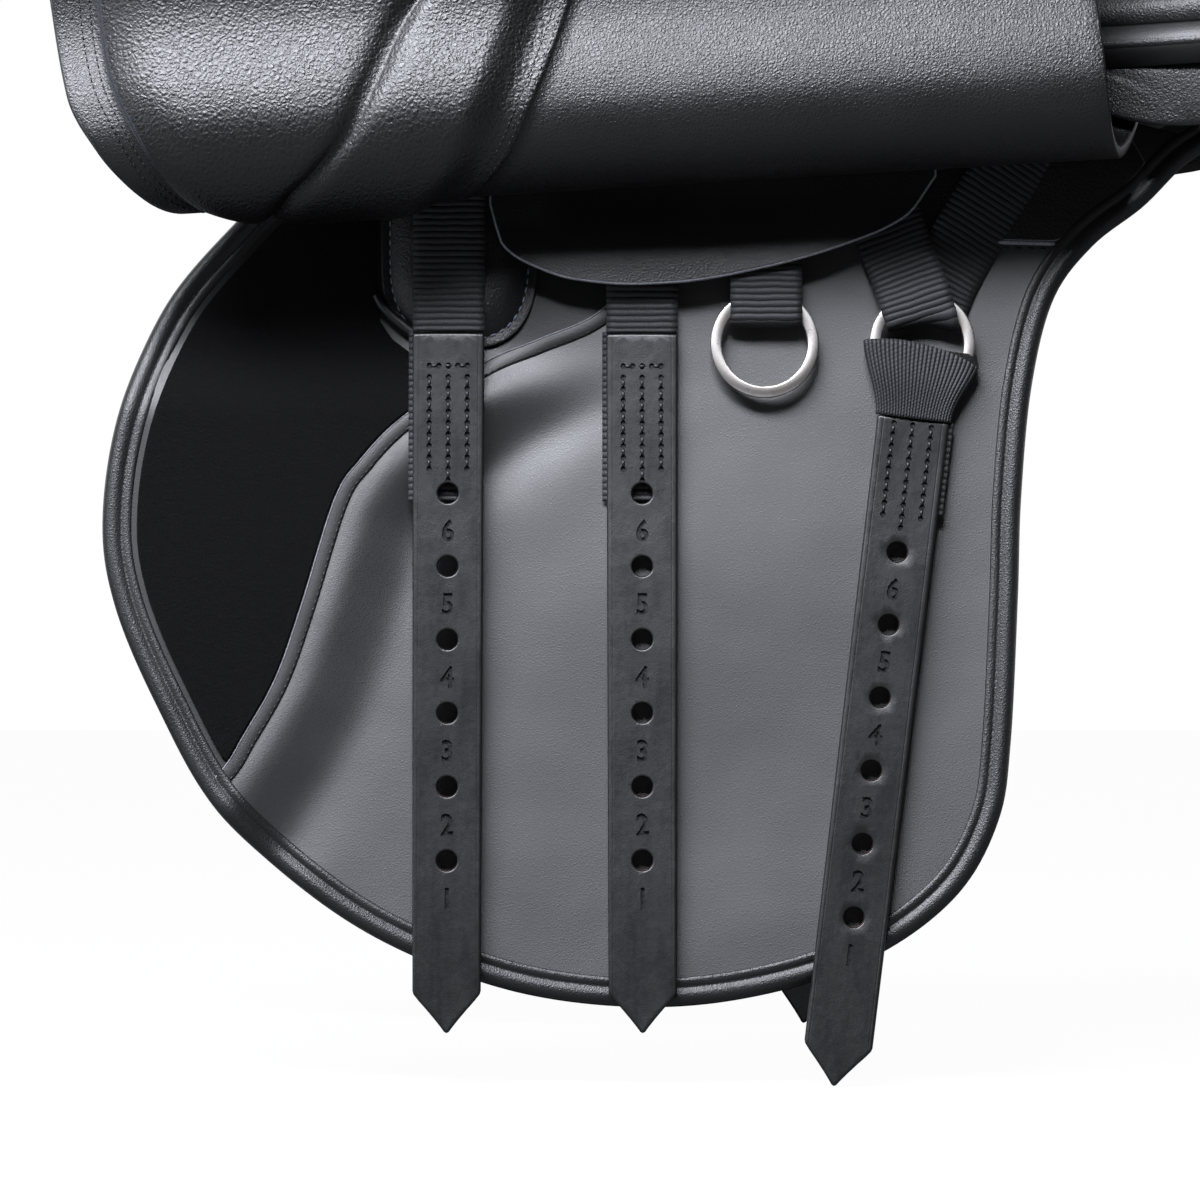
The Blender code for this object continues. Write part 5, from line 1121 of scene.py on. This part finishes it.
def rearPoint(across, distance, out):
    c, s, ring = math.cos(rearStrap["tilt"]), math.sin(rearStrap["tilt"]), ringSizes["girth"]
    return (ring["x"] + across * c - distance * s, rearOut(distance) + out,
            ring["z"] - across * s - distance * c)


def sleeveRings():  # the webbing sleeve below the ring: rings of its inside, then of its outside
    half, drop, long = rearStrap["sleeveDeep"] / 2, rearStrap["drop"], rearStrap["sleeve"] - 2.6
    around = [(fuller(math.cos(a), 0.55), fuller(math.sin(a), 0.8)) for a in angles(48)]
    loops = [[rearPoint(a * width, drop + down, o * (half - 1.8)) for a, o in around]
             for down, width in ((19.5, 11.0), (10, 16.5), (0.5, 19.3))]
    uvs = [[(0, 0)] * len(around)] * len(loops)
    for t in (i / 21 for i in range(22)):
        width = mix(rearStrap["topWide"], rearStrap["lowWide"], ramp(t, -0.15, 1.0)) / 2
        depth = mix(half, 3.2, ramp(t, 0.35, 1.0))
        loop, uv = [], []
        for share, o in around:
            flute = 0.22 * math.cos(share * 30) * (1 - t * 0.5)
            crown = (3.6 * (1 - share ** 2) - 2.4 * share) * (1 - t) ** 2
            out = depth * o
            loop.append(rearPoint(width * share, drop + 2.6 + t * long - crown,
                                  out + math.copysign(flute, out)))
            uv.append((t * 0.012, 0.030 * (share + 1)))
        loops.append(loop)
        uvs.append(uv)
    return loops, uvs


def makeRearStrap(label, side):
    body = f"rear_strap_{label}"
    loops, uvs = sleeveRings()
    piece = tube(f"ringSleeve_{label}", loops, side, ["webbing"], uvs=uvs)
    finished(piece, body, "webbing", f"ring_sleeve_{label}")
    top = rearStrap["drop"] + rearStrap["sleeve"]
    c, s = math.cos(rearStrap["tilt"]), math.sin(rearStrap["tilt"])
    gx, gz = ringSizes["girth"]["x"], ringSizes["girth"]["z"]

    def turned(points):
        return [(gx + x * c - (top - z) * s, gz - x * s - (top - z) * c) for x, z in points]

    def local(x, z):
        return (x - gx) * c - (z - gz) * s, -((x - gx) * s + (z - gz) * c) - top

    rows = stitchRows(-2.5, (-34, -38.5, -34), False)
    piece = slab(f"rearStrap_{label}", turned(strapShape(rearStrap["length"])), side,
                 lambda x, z: rearOut(local(x, z)[1] + top) + strap["thick"] / 2,
                 strap["looks"], strap["thick"], strap["round"], strap["step"],
                 [turned(h) for h in strapHoles(rearStrap["first"])],
                 [turned(m) for m in pressedMarks(rearStrap["first"], rows, side)],
                 uvAt=lambda x, z: [value / 1000 for value in local(x, z)])
    finished(piece, body, "strap_leather", f"rear_strap_{label}")
    lean = (rearOut(200) - rearOut(100)) / 100

    def at(across, down):
        return rearPoint(across, top - down, strap["thick"] / 2), (0, 1, lean)

    strapThreads(f"rearStrap{label}", body, side, at, rows)
    # the web's sewn end shows beside the strap
    line = [rearPoint(12.6, top + k * 3, -0.9) for k in range(12)]
    tail = ribbon(f"rearWebTail_{label}", line, [(1, 0, 0)] * 12, [3.4] * 12, web["tailThick"], side,
                  ["webbing"], 30)
    finished(tail, body, "webbing")


guard = {"front": -123.0, "rear": 33.8, "top": 24.0, "thick": 2.3}
guardLow = throughPoints([(-123, -2), (-118.5, -16.5), (-108, -23.8), (-93, -28.8), (-74, -30.5),
                          (-57.5, -29.8), (-24, -23.9), (3, -15.8), (23, -6.3), (34, 8.4)])


def guardFace(x, z):
    low = 6.2 + 4.6 * ramp(-z, -4, 24)
    return flapFace(z) + mix(low, max(low, 8.4), ramp(-x, 92, 106))


def makeGuard(label, side):
    front, rear = guard["front"], guard["rear"]
    low = [(x, guardLow(x)) for x in (mix(front, rear, k / 80) for k in range(81))]
    top = [(mix(rear, front, k / 40), guard["top"]) for k in range(41)]
    outline = low + [(rear, 15.0)] + top + [(front, 12.0)]
    piece = slab(f"buckleGuard_{label}", outline, side,
                 lambda x, z: guardFace(x, z) + 2.5 + 0.35 * math.sin(x * 0.06 + 1) * ramp(-z, -10, 25),
                 ["guardHide", "paleEdge", "suede"], guard["thick"], 0.75, 3.2)
    finished(piece, f"guard_{label}", "grained_leather", f"buckle_guard_{label}")


# Outer flap: u along the fold, v down the leather
flap = {"out": 104.0, "up": 62.0, "tilt": math.radians(3.4), "lean": math.radians(28),
        "fold": math.radians(160), "overSeat": math.radians(65), "foldRadius": 27.0, "seatRadius": 110.0,
        "foldAt": 46.1, "leg": 70.0, "long": 359.0, "steps": 360, "shoulder": 30, "thick": 4.5, "pad": 6.0,
        "padTop": 62.0, "padLow": 305.0, "bow": -3.6, "hangMiddle": math.radians(12),
        "hangLow": math.radians(5), "offTrim": 17.5}
flapFront = throughPoints([(0, -160), (36, -205), (75, -233.7), (98, -250), (112, -259.3), (132, -268.3),
                           (170, -273), (199, -275), (224, -271), (276, -248), (321, -204), (347, -150),
                           (356, -120), (359, -104)])
flapRear = throughPoints([(0, 108), (42, 103), (75, 93.4), (102, 88.8), (149, 86.3), (204, 76), (254, 62),
                          (303, 48), (334, 21), (350, -20), (357, -60), (359, -84)])
padFront = throughPoints([(62, -196), (75, -215.7), (90, -230), (113, -243.8), (139, -253.9), (160, -256.3),
                          (200, -257), (240, -243), (275, -218), (305, -175)])
padRear = throughPoints([(62, -150), (75, -136), (89, -127.2), (104, -116.7), (116, -110.4), (133, -102.3),
                         (160, -92), (200, -82), (240, -84), (275, -100), (305, -140)])
padChannel = throughPoints([(62, -208), (92, -194.2), (103, -183.2), (115, -171.6), (130, -163.3),
                            (150, -153.1), (163, -143.9), (200, -122), (240, -112), (275, -130), (305, -150)])
foldLength, overLength = flap["foldRadius"] * flap["fold"], flap["seatRadius"] * flap["overSeat"]
legStart = flap["foldAt"] + foldLength
overStart = legStart + flap["leg"]
bends = [flap["foldAt"] + foldLength * (k + 0.5) / 5 for k in range(5)]
bends += [overStart + overLength * (k + 0.5) / 3 for k in range(3)]


def wayThrough(v, start, end):  # 0 before start, 1 after end
    return min(max((v - start) / (end - start), 0), 1)


def foldedHeading(v):
    h = flap["lean"] + flap["fold"] * wayThrough(v, flap["foldAt"], legStart)
    return h + flap["overSeat"] * wayThrough(v, overStart, overStart + overLength)


def hangingHeading(v):
    if v < bends[4]:
        return mix(flap["lean"], flap["hangMiddle"], ramp(v, bends[0], bends[4]))
    return mix(flap["hangMiddle"], flap["hangLow"], ramp(v, bends[4], bends[7]))


def flapLine(heading):  # (out, up, heading) down the flap, at 1 mm steps
    out, up, line = flap["out"], 0.0, []
    for n in range(flap["steps"] + 1):
        line.append((out, up, heading(n)))
        h = heading(n + 0.5)
        out, up = out + math.sin(h), up - math.cos(h)
    return line


folded, hanging = flapLine(foldedHeading), flapLine(hangingHeading)
rootBehind = throughPoints([(-30, 0), (0, 96), (20, 100.5), (40, 104), (104, 105)])
rootBehindUp = throughPoints([(-30, 0), (0, 48), (20, 44.5), (40, 42), (104, 44)])
rootBulge = throughPoints([(-160, 7), (-110, 6), (-60, 3), (0, 0.5)])


def flapRoot(x):  # (out, up) of the flap's upper edge: on the wing in front, behind it beside the panel
    at = min(x, -30.0)
    y, z = wingFace(at, 0.6)
    ny, nz = wingNormal(at)
    front = (y + ny * 1.6, z + nz * 1.6)
    if x <= -30:
        return front
    if x < 0:
        t = (x + 30) / 30
        return mix(front[0], rootBehind(0), t), mix(front[1], rootBehindUp(0), t)
    return rootBehind(x), rootBehindUp(x)


def flapPoint(line, u, v, off):  # u along the fold, v down the leather, off out of its outer face
    v = min(max(v, 0.0), flap["steps"] - 0.5)
    n = int(v)
    out, up, h = [mix(p, q, v - n) for p, q in zip(line[n], line[n + 1])]
    shoulder = flap["shoulder"]
    if v < shoulder:
        out, up, h = line[shoulder]
    if line is folded and legStart < v < overStart:
        off += flap["bow"] * math.sin(math.pi * (v - legStart) / flap["leg"]) ** 2
    c, s = math.cos(flap["tilt"]), math.sin(flap["tilt"])
    nOut, nUp = -math.cos(h), -math.sin(h)
    point = Vector((u * c - up * s, out, flap["up"] + u * s + up * c))
    normal = Vector((-nUp * s, nOut, nUp * c))
    if v < shoulder:
        t = v / shoulder
        x = mix(-158, 104, (u - flapFront(v)) / (flapRear(v) - flapFront(v)))
        y, z = flapRoot(x)
        bulge = rootBulge(x) * math.sin(math.pi * t)
        point = Vector((mix(x, point.x, t), mix(y, point.y, t), mix(z, point.z, t) + bulge))
        lean = mix(math.radians(68), flap["lean"], t)
        normal = Vector((0, -math.cos(lean), -math.sin(lean)))
    return point + normal * off


def padRise(u, v):
    if not flap["padTop"] < v < flap["padLow"]:
        return 0.0
    front, rear = padFront(v), padRear(v)
    if not front < u < rear:
        return 0.0
    ends = ramp(min(v - flap["padTop"], flap["padLow"] - v), 0, 18)
    step = 1.7 * ramp(u - front, 0, 1.6)
    crown = (1 - (1 - min((u - front) / 22, 1)) ** 2.2) * ramp(rear - u, 7.5, 24)
    away = u - padChannel(v)
    channel = 1 - 0.62 * math.exp(-abs(away / 3.4) ** 1.6) - 0.10 * math.exp(-(away / 9) ** 2)
    flange = 1.5 * ramp(rear - u, 0, 0.8)
    return ends * (min(step, flange) + crown * channel * (flap["pad"] - 0.8))


def rearEdge(v, side):  # the off flap is narrower, so that nothing of it shows behind the sweat flap
    return flapRear(v) - (flap["offTrim"] * ramp(v, 60, 150) * (1 - ramp(v, 180, 290)) if side > 0 else 0.0)


flapGrid = {"front": 7, "pad": 26, "rear": 44}  # columns before the pad, on each half of it and behind it


def flapColumns(v, side):
    front, rear = flapFront(v) + 0.9, rearEdge(v, side) - 0.9
    wide = rear - front
    a = min(max(padFront(v), front + wide * 0.02), rear - wide * 0.2)
    d = min(max(padRear(v), a + wide * 0.1), rear - wide * 0.05)
    m = min(max(padChannel(v), a + 3 + wide * 0.01), d - 10 if d - 10 > a + 4 else mix(a, d, 0.6))
    before, half, behind = flapGrid["front"], flapGrid["pad"], flapGrid["rear"]
    columns = [mix(front, a, k / before) for k in range(before)]
    columns += [a, a + 0.8 * min(1, wide / 60), a + 1.6 * min(1, wide / 60)]
    start = columns[-1]
    columns += [mix(start, m, k / half) for k in range(1, half + 1)]
    columns += [mix(m, d, k / half) for k in range(1, half)]
    columns += [d - 0.8 * min(1, wide / 90), d]
    return columns + [mix(d, rear, k / behind) for k in range(1, behind + 1)]


def flapLoop(line, v, side):
    columns = flapColumns(v, side)
    front, rear, thick = flapFront(v), rearEdge(v, side), flap["thick"]
    loop = [(u, padRise(u, v)) for u in columns]
    loop += [(rear - 0.25, -0.7), (rear, -thick / 2), (rear - 0.25, 0.7 - thick)]
    loop += [(u, -thick) for u in reversed(columns)]
    loop += [(front + 0.25, 0.7 - thick), (front, -thick / 2), (front + 0.25, -0.7)]
    return [flapPoint(line, u, v, off) for u, off in loop], [(u / 1000, v / 1000) for u, _ in loop]


def flapPick(v, j, count):  # finish of a face: 0 hide, 1 pad, 2 cut edge of the pad, 3 dyed edge of the flap
    if j >= count:
        return 3 if j < count + 3 or j >= 2 * count + 3 else 0
    padStart = flapGrid["front"] + 2
    if flap["padTop"] < v < flap["padLow"] and flapGrid["front"] <= j <= padStart + 2 * flapGrid["pad"]:
        return 2 if j < padStart else 1
    return 0


def flapPieces(line, cuts, side, names):
    # one smooth surface, cut into pieces that share their edge points and normals
    between = [cuts[0] + k * 1.6 for k in range(1, 400)]
    between = [v for v in between if v < 354 and all(abs(v - c) > 0.7 for c in cuts)]
    vs = sorted(set([round(v, 3) for v in cuts] + [flap["long"], 357.5, 355] + between))
    loops = [flapLoop(line, v, side) for v in vs]
    count = len(flapColumns(100.0, side))
    n = len(loops[0][0])
    normals = []
    for i in range(len(vs)):
        a, here, b = [loops[min(max(i + k, 0), len(vs) - 1)][0] for k in (-1, 0, 1)]
        row = []
        for j in range(n):
            normal = (here[(j + 1) % n] - here[j - 1]).cross(b[j] - a[j])
            row.append(normal.normalized() if normal.length > 1e-9 else Vector((0, 0, 1)))
        normals.append(row)
    made = []
    for name, low, high in names:
        rows = [i for i, v in enumerate(vs) if low - 0.01 <= v <= high + 0.01]
        points = [placed(p, side) for i in rows for p in loops[i][0]]
        uvs = [uv for i in rows for uv in loops[i][1]]
        faces, chosen = [], []
        for k in range(len(rows) - 1):
            middle = (vs[rows[k]] + vs[rows[k] + 1]) / 2
            for j in range(n):
                m = (j + 1) % n
                faces.append((k * n + j, k * n + m, (k + 1) * n + m, (k + 1) * n + j))
            chosen += [flapPick(middle, j, count) for j in range(n)]
        faces += [tuple(range(n))[::-1], tuple((len(rows) - 1) * n + j for j in range(n))]
        chosen += [3, 3]
        # a face on the outer side, 8 columns from the rear edge, tells which way the mesh has to point
        probe, middle = (len(rows) // 2) * n + count - 8, vs[rows[len(rows) // 2]]
        up = flapPoint(line, 0, middle, 1) - flapPoint(line, 0, middle, 0)
        up = Vector((up.x, up.y * side, up.z))
        a, b, c = [points[v] for v in faces[probe][:3]]
        obj = makeMesh(name, points, faces, ["flapHide", "padHide", "cutEdge", "darkEdge"], uvs, chosen,
                       (b - a).cross(c - a).dot(up) < 0)
        custom = [Vector((q.x, q.y * side, q.z)) for i in rows for q in normals[i]]
        if custom[probe].dot(up) < 0:
            custom = [-q for q in custom]
        obj.data.normals_split_custom_set_from_vertices(custom)
        made.append(obj)
    return made


padSeams = [(padFront, -2.6, 0.1), (padFront, -6.0, 0.1), (padChannel, 0.4, 0.0), (padRear, -2.6, 0.0),
            (padRear, -5.8, 0.0)]  # line, mm from it, mm out


def padStitches(line, low, high, name, side):
    rows = []
    for where, shift, lift in padSeams:
        row = []
        count = max(int((high - low) / 2), 2)
        for k in range(count + 1):
            v = mix(low, high, k / count)
            if flap["padTop"] + 4 < v < flap["padLow"] - 4:
                u = where(v) + shift
                point = flapPoint(line, u, v, padRise(u, v) + 0.12 + lift)
                row.append((tuple(point), tuple(flapPoint(line, u, v, 1) - flapPoint(line, u, v, 0))))
        if len(row) > 1:
            rows.append(row)
    return stitched(name, rows, "fine", side) if rows else None


def makeOuterFlaps():
    line = folded
    mids = [mix(a, b, 0.5) for a, b in zip([14.0] + bends, bends + [flap["long"]])]
    bodies = ["frame"] + [f"flap_{part}_near_{k}" for part in ("bend", "leaf") for k in range(1, 5)]
    cuts = [0.0] + mids[1:-1] + [flap["long"]]
    names = [(f"nearFlap{k + 1}", cuts[k], cuts[k + 1]) for k in range(8)]
    pieces = flapPieces(line, cuts, -1, names)
    for k, piece in enumerate(pieces):
        start = placed(flapPoint(line, 0, mids[k], 0), -1)
        end = placed(flapPoint(line, 0, mids[k + 1], 0), -1)
        stitches = padStitches(line, cuts[k], cuts[k + 1], f"nearFlapStitches{k + 1}", -1)
        for obj in [piece] + ([stitches] if stitches else []):
            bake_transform(obj)
    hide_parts("flap_top_near", "flap_bend_near_1")
    for k in range(2, 8):
        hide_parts(bodies[k])
    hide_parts("flap_leaf_near_4")
    line = hanging
    pieces = flapPieces(line, [0.0, flap["long"]], 1, [("offFlap", 0.0, flap["long"])])
    stitches = padStitches(line, 0.0, flap["long"], "offFlapStitches", 1)
    start, end = placed(flapPoint(line, 0, mids[0], 0), 1), placed(flapPoint(line, 0, mids[1], 0), 1)
    for obj in pieces + [stitches]:
        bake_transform(obj)
    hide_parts("flap_top_off", "flap_off")


seat = {"nose": -188, "tail": 278, "rows": 110, "columns": 61, "thick": 7.5, "lip": 4.5, "seamAt": 0.72}


def makeSeat():
    rows = []
    for i in range(seat["rows"]):
        x = mix(seat["nose"], seat["tail"], i / (seat["rows"] - 1))
        rows.append([(x, *seatTop(x, mix(-1, 1, j / (seat["columns"] - 1)))) for j in range(seat["columns"])])
    nose, tail = [], []
    for a in (math.pi / 2 * k / 6 for k in range(1, 7)):
        ahead, drop = seat["lip"] * math.sin(a), 1 - math.cos(a)
        nose.insert(0, [(seat["nose"] - ahead, y * (1 - 0.1 * drop), z - 9 * drop) for _, y, z in rows[0]])
        tail.append([(seat["tail"] + ahead, y, z - 12 * drop * (z - 168) / 38 - 2 * drop)
                     for _, y, z in rows[-1]])
    piece = gridSheet("seatCover", nose + rows + tail, 1, ["grainedHide"])
    solid = piece.modifiers.new("foam", "SOLIDIFY")
    solid.thickness, solid.offset = seat["thick"] / 1000, -1
    settled(piece)
    finished(piece, "frame", "grained_leather", "seat")
    # two sewn lines along the seat, either side of its middle
    for s, label in ((-seat["seamAt"], "near"), (seat["seamAt"], "off")):
        row = []
        for x in (mix(-150, 232, k / 119) for k in range(120)):
            y, z = seatTop(x, s)
            y2, z2 = seatTop(x, s * 1.02)
            row.append(((x, y, z + 0.1), (0, -(z2 - z) * math.copysign(1, s), abs(y2 - y))))
        finished(stitched(f"seatStitches_{label}", [row], "fine", 1), "frame", "grained_leather")


welt = {"in": 2.9, "down": 4.0, "radius": 2.7, "tail": 280.9, "tailOut": 56}


def makeWelt():
    xs = [mix(seat["nose"], seat["tail"], k / 120) for k in range(121)]
    line = movedIn([(x, weltOut(x)) for x in xs], welt["in"])
    half = [(x, y, weltUp(s) - welt["down"]) for (x, y), s in zip(line, xs)]
    end = half[-1][2]
    half[-1] = (welt["tail"], half[-1][1], end)
    across = [(welt["tail"], mix(welt["tailOut"], -welt["tailOut"], k / 12), end) for k in range(13)]
    points = half + across + [(x, -y, z) for x, y, z in reversed(half)]
    piece = roundTube("seatWelt", atEvenSteps(points, 420), welt["radius"], 1, ["bindingHide"])
    finished(piece, "frame", "binding_leather", "seat_welt")


valance = {"nose": -150, "tail": 272, "in": (3.6, 5.2), "below": 12.0, "above": 2.5}


def makeValance(label, side):  # strip behind the welt that closes the gap under the seat
    xs = [mix(valance["nose"], valance["tail"], k / 80) for k in range(81)]
    outer, inner = [movedIn([(x, weltOut(x)) for x in xs], distance) for distance in valance["in"]]
    rows = []
    for (x, y), (u, w), s in zip(outer, inner, xs):
        low, high = weltUp(s) - valance["below"], weltUp(s) + valance["above"]
        rows.append([(x, y, high), (x, y, low), (u, w, low), (u, w, high)])
    piece = gridSheet(f"seatValance_{label}", rows, side, ["blackHide"], closed=True)
    finished(piece, "frame", "binding_leather")


def softCopy(name, node, look, levels, round=0.0):  # a CAD node's mesh, merged, eased and smoothed
    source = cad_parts[node]
    mesh = source.data.copy()
    mesh.transform(source.matrix_world)
    obj = bpy.data.objects.new(name, mesh)
    scene.collection.objects.link(obj)
    kit = bmesh.new()
    kit.from_mesh(mesh)
    bmesh.ops.remove_doubles(kit, verts=kit.verts, dist=1e-5)
    bmesh.ops.join_triangles(kit, faces=kit.faces, angle_face_threshold=math.radians(50),
                             angle_shape_threshold=math.radians(60))
    kit.to_mesh(mesh)
    kit.free()
    mesh.materials.clear()
    mesh.materials.append(finishes[look])
    for face in mesh.polygons:
        face.material_index = 0
    if round:
        bevel = obj.modifiers.new("edge", "BEVEL")
        bevel.width, bevel.segments, bevel.angle_limit = round / 1000, 2, math.radians(40)
    if levels:
        sub = obj.modifiers.new("smooth", "SUBSURF")
        sub.levels = sub.render_levels = levels
    settled(obj)
    obj.data.shade_smooth()
    return obj


panelSwell = {"voxel": 6.0, "pressure": 3.0, "cap": 2.0, "frames": 20}


def inflated(obj, swell):  # cloth blown up a little, then held near where it began
    remesh = obj.modifiers.new("even", "REMESH")
    remesh.mode, remesh.voxel_size = "VOXEL", swell["voxel"] / 1000
    settled(obj)
    before = [v.co.copy() for v in obj.data.vertices]
    cloth = obj.modifiers.new("cloth", "CLOTH")
    cloth.settings.use_pressure, cloth.settings.uniform_pressure_force = True, swell["pressure"]
    cloth.settings.effector_weights.gravity = 0
    cloth.settings.quality = 5
    scene.frame_start, scene.frame_end = 1, swell["frames"]
    for number in range(1, swell["frames"] + 1):
        scene.frame_set(number)
    after = [v.co.copy() for v in obj.evaluated_get(bpy.context.evaluated_depsgraph_get()).data.vertices]
    obj.modifiers.clear()
    scene.frame_set(1)
    cap = swell["cap"] / 1000
    for vertex, old, new in zip(obj.data.vertices, before, after):
        move = new - old
        if move.length > cap:
            move *= cap / move.length
        vertex.co = old + move
    smooth = obj.modifiers.new("settle", "SMOOTH")
    smooth.factor, smooth.iterations = 0.5, 4
    sub = obj.modifiers.new("smooth", "SUBSURF")
    sub.levels = sub.render_levels = 1
    settled(obj)
    obj.data.shade_smooth()


def makePanel(label):
    piece = softCopy(f"panel_{label}", f"panel_{label}", "grainedHide", 1)
    inflated(piece, panelSwell)
    piece.data.materials.clear()
    piece.data.materials.append(finishes["grainedHide"])
    finished(piece, "frame", "grained_leather", f"panel_{label}")


softNodes = {  # piece, finish, slot, levels of smoothing and rounding of its edges in mm
    "skirt_band": ("skirtBand", "grainedHide", "grained_leather", 2, 0.0),
    "skirt": ("skirtFlap", "grainedHide", "grained_leather", 2, 0.0),
    "stirrup_bar": ("stirrupBar", "steel", "steel", 1, 1.2),
    "bar_catch": ("barCatch", "steel", "steel", 0, 1.0),
    "pommel_staple": ("ringChape", "strap", "strap_leather", 1, 0.0),
}
pommelRing = {"outside": 26.0, "wire": 1.6, "x": -176, "out": 74.0, "top": 112}


def makeUnderSeat(label, side):
    for node, (name, look, slot, levels, round) in softNodes.items():
        piece = softCopy(f"{name}_{label}", f"{node}_{label}", look, levels, round)
        moving = node in ("skirt", "bar_catch")
        finished(piece, f"{node}_{label}" if moving else "frame", slot, f"{node}_{label}")
    radius = pommelRing["outside"] / 2 - pommelRing["wire"]
    line = [(pommelRing["x"] + radius * math.cos(a), pommelRing["out"],
             pommelRing["top"] - radius + radius * math.sin(a)) for a in angles(48)]
    ring = roundTube(f"pommelRing_{label}", line, pommelRing["wire"], side, ["steel"], True)
    finished(ring, f"pommel_ring_{label}", "steel", f"pommel_ring_{label}")


makeSeat()
makeWelt()
print("seat and welt made")
for label, side in sides.items():
    makeSweatFlap(label, side)
    makeBlockPatch(label, side)
    makePocket(label, side)
    for which in ("front", "middle"):
        makeWeb(label, side, which)
        makeStrap(label, side, which)
    makeRings(label, side)
    makeRingWebs(label, side)
    makeRearStrap(label, side)
    makeGuard(label, side)
    makeUnderSeat(label, side)
    makePanel(label)
    makeValance(label, side)
    print("side made:", label)
makeOuterFlaps()
print("outer flaps made")
for node, look in (("tree", "wood"), ("head_plate", "steel")):
    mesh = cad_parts[node].data
    for k in range(max(len(mesh.materials), 1)):
        if k < len(mesh.materials):
            mesh.materials[k] = finishes[look]
        else:
            mesh.materials.append(finishes[look])
finished(softCopy("seatWeb", "seat_web", "suede", 1), "frame", "webbing", "seat_web")

# Pale floor, soft studio light, white backdrop
studio = {"floor": cadBox[0][2] - 0.0006, "floorHalf": 6, "floorGlow": 0.97, "sky": 0.16, "front": 0.02,
          "tint": (0.90, 0.92, 1.0)}


lamps = {  # size in metres, power in watts
    "softboxHigh": {"at": (-0.54, -1.08, 1.08), "aim": (-0.08, -0.1, -0.1), "size": (1.3, 0.45),
                    "power": 94.0},
    "stripLeft": {"at": (-1.7, -0.9, 0.1), "aim": (-0.08, 0, -0.12), "size": (0.4, 1.6), "power": 10.0},
}


def lamp(name, at, aim, size, power):
    data = bpy.data.lights.new(name, "AREA")
    data.shape, data.size, data.size_y, data.energy = "RECTANGLE", size[0], size[1], power
    data.color = studio["tint"]
    obj = bpy.data.objects.new(name, data)
    obj.location = at
    obj.rotation_euler = (Vector(aim) - Vector(at)).to_track_quat("-Z", "Y").to_euler()
    scene.collection.objects.link(obj)


for name, look in lamps.items():
    lamp(name, **look)
print("lamps placed")


def backdropWorld():
    world = bpy.data.worlds.new("studio")
    scene.world = world
    world.use_nodes = True
    nodes, links = world.node_tree.nodes, world.node_tree.links
    nodes.clear()
    path = nodes.new("ShaderNodeLightPath")
    seen = nodes.new("ShaderNodeMath")
    seen.operation = "MAXIMUM"
    links.new(path.outputs["Is Camera Ray"], seen.inputs[0])
    links.new(path.outputs["Is Transmission Ray"], seen.inputs[1])
    direction = nodes.new("ShaderNodeTexCoord")
    split = nodes.new("ShaderNodeSeparateXYZ")
    links.new(direction.outputs["Generated"], split.inputs[0])
    behind = nodes.new("ShaderNodeMapRange")
    behind.interpolation_type = "SMOOTHSTEP"
    links.new(split.outputs[1], behind.inputs["Value"])
    for key, value in (("From Min", -0.35), ("From Max", 0.55), ("To Min", studio["front"]), ("To Max", 1.0)):
        behind.inputs[key].default_value = value
    plain, white, glossy = [nodes.new("ShaderNodeBackground") for _ in range(3)]
    plain.inputs["Strength"].default_value = studio["sky"]
    links.new(behind.outputs[0], glossy.inputs["Strength"])
    for node in (plain, white, glossy):
        node.inputs["Color"].default_value = (1, 1, 1, 1)
    first, second = nodes.new("ShaderNodeMixShader"), nodes.new("ShaderNodeMixShader")
    links.new(path.outputs["Is Glossy Ray"], first.inputs[0])
    links.new(plain.outputs[0], first.inputs[1])
    links.new(glossy.outputs[0], first.inputs[2])
    links.new(seen.outputs[0], second.inputs[0])
    links.new(first.outputs[0], second.inputs[1])
    links.new(white.outputs[0], second.inputs[2])
    end = nodes.new("ShaderNodeOutputWorld")
    links.new(second.outputs[0], end.inputs[0])


def makeFloor():
    f = Finish("paleFloor")
    base = f.node("ShaderNodeBsdfPrincipled", {}, {"Base Color": (0.80, 0.80, 0.80, 1), "Roughness": 0.75})
    glow = f.node("ShaderNodeEmission", {}, {"Color": (1, 1, 1, 1), "Strength": 1.0})
    path = f.node("ShaderNodeLightPath", {}, {})
    dark = f.node("ShaderNodeBsdfDiffuse", {}, {"Color": (0.12, 0.12, 0.12, 1)})
    pale, both = f.nodes.new("ShaderNodeMixShader"), f.nodes.new("ShaderNodeMixShader")
    pale.inputs[0].default_value = studio["floorGlow"]
    for socket, node in ((pale.inputs[1], base), (pale.inputs[2], glow), (both.inputs[0], path),
                         (both.inputs[1], dark)):
        f.links.new(node.socket, socket)
    f.links.new(pale.outputs[0], both.inputs[2])
    end = f.nodes.new("ShaderNodeOutputMaterial")
    f.links.new(both.outputs[0], end.inputs[0])
    z, half = studio["floor"], studio["floorHalf"]
    mesh = bpy.data.meshes.new("floor")
    corners = [(-half, -half, z), (half, -half, z), (half, half, z), (-half, half, z)]
    mesh.from_pydata(corners, [], [(0, 1, 2, 3)])
    mesh.materials.append(f.material)
    floor = bpy.data.objects.new("floor", mesh)
    scene.collection.objects.link(floor)


backdropWorld()
makeFloor()
scene.view_settings.view_transform = "Standard"
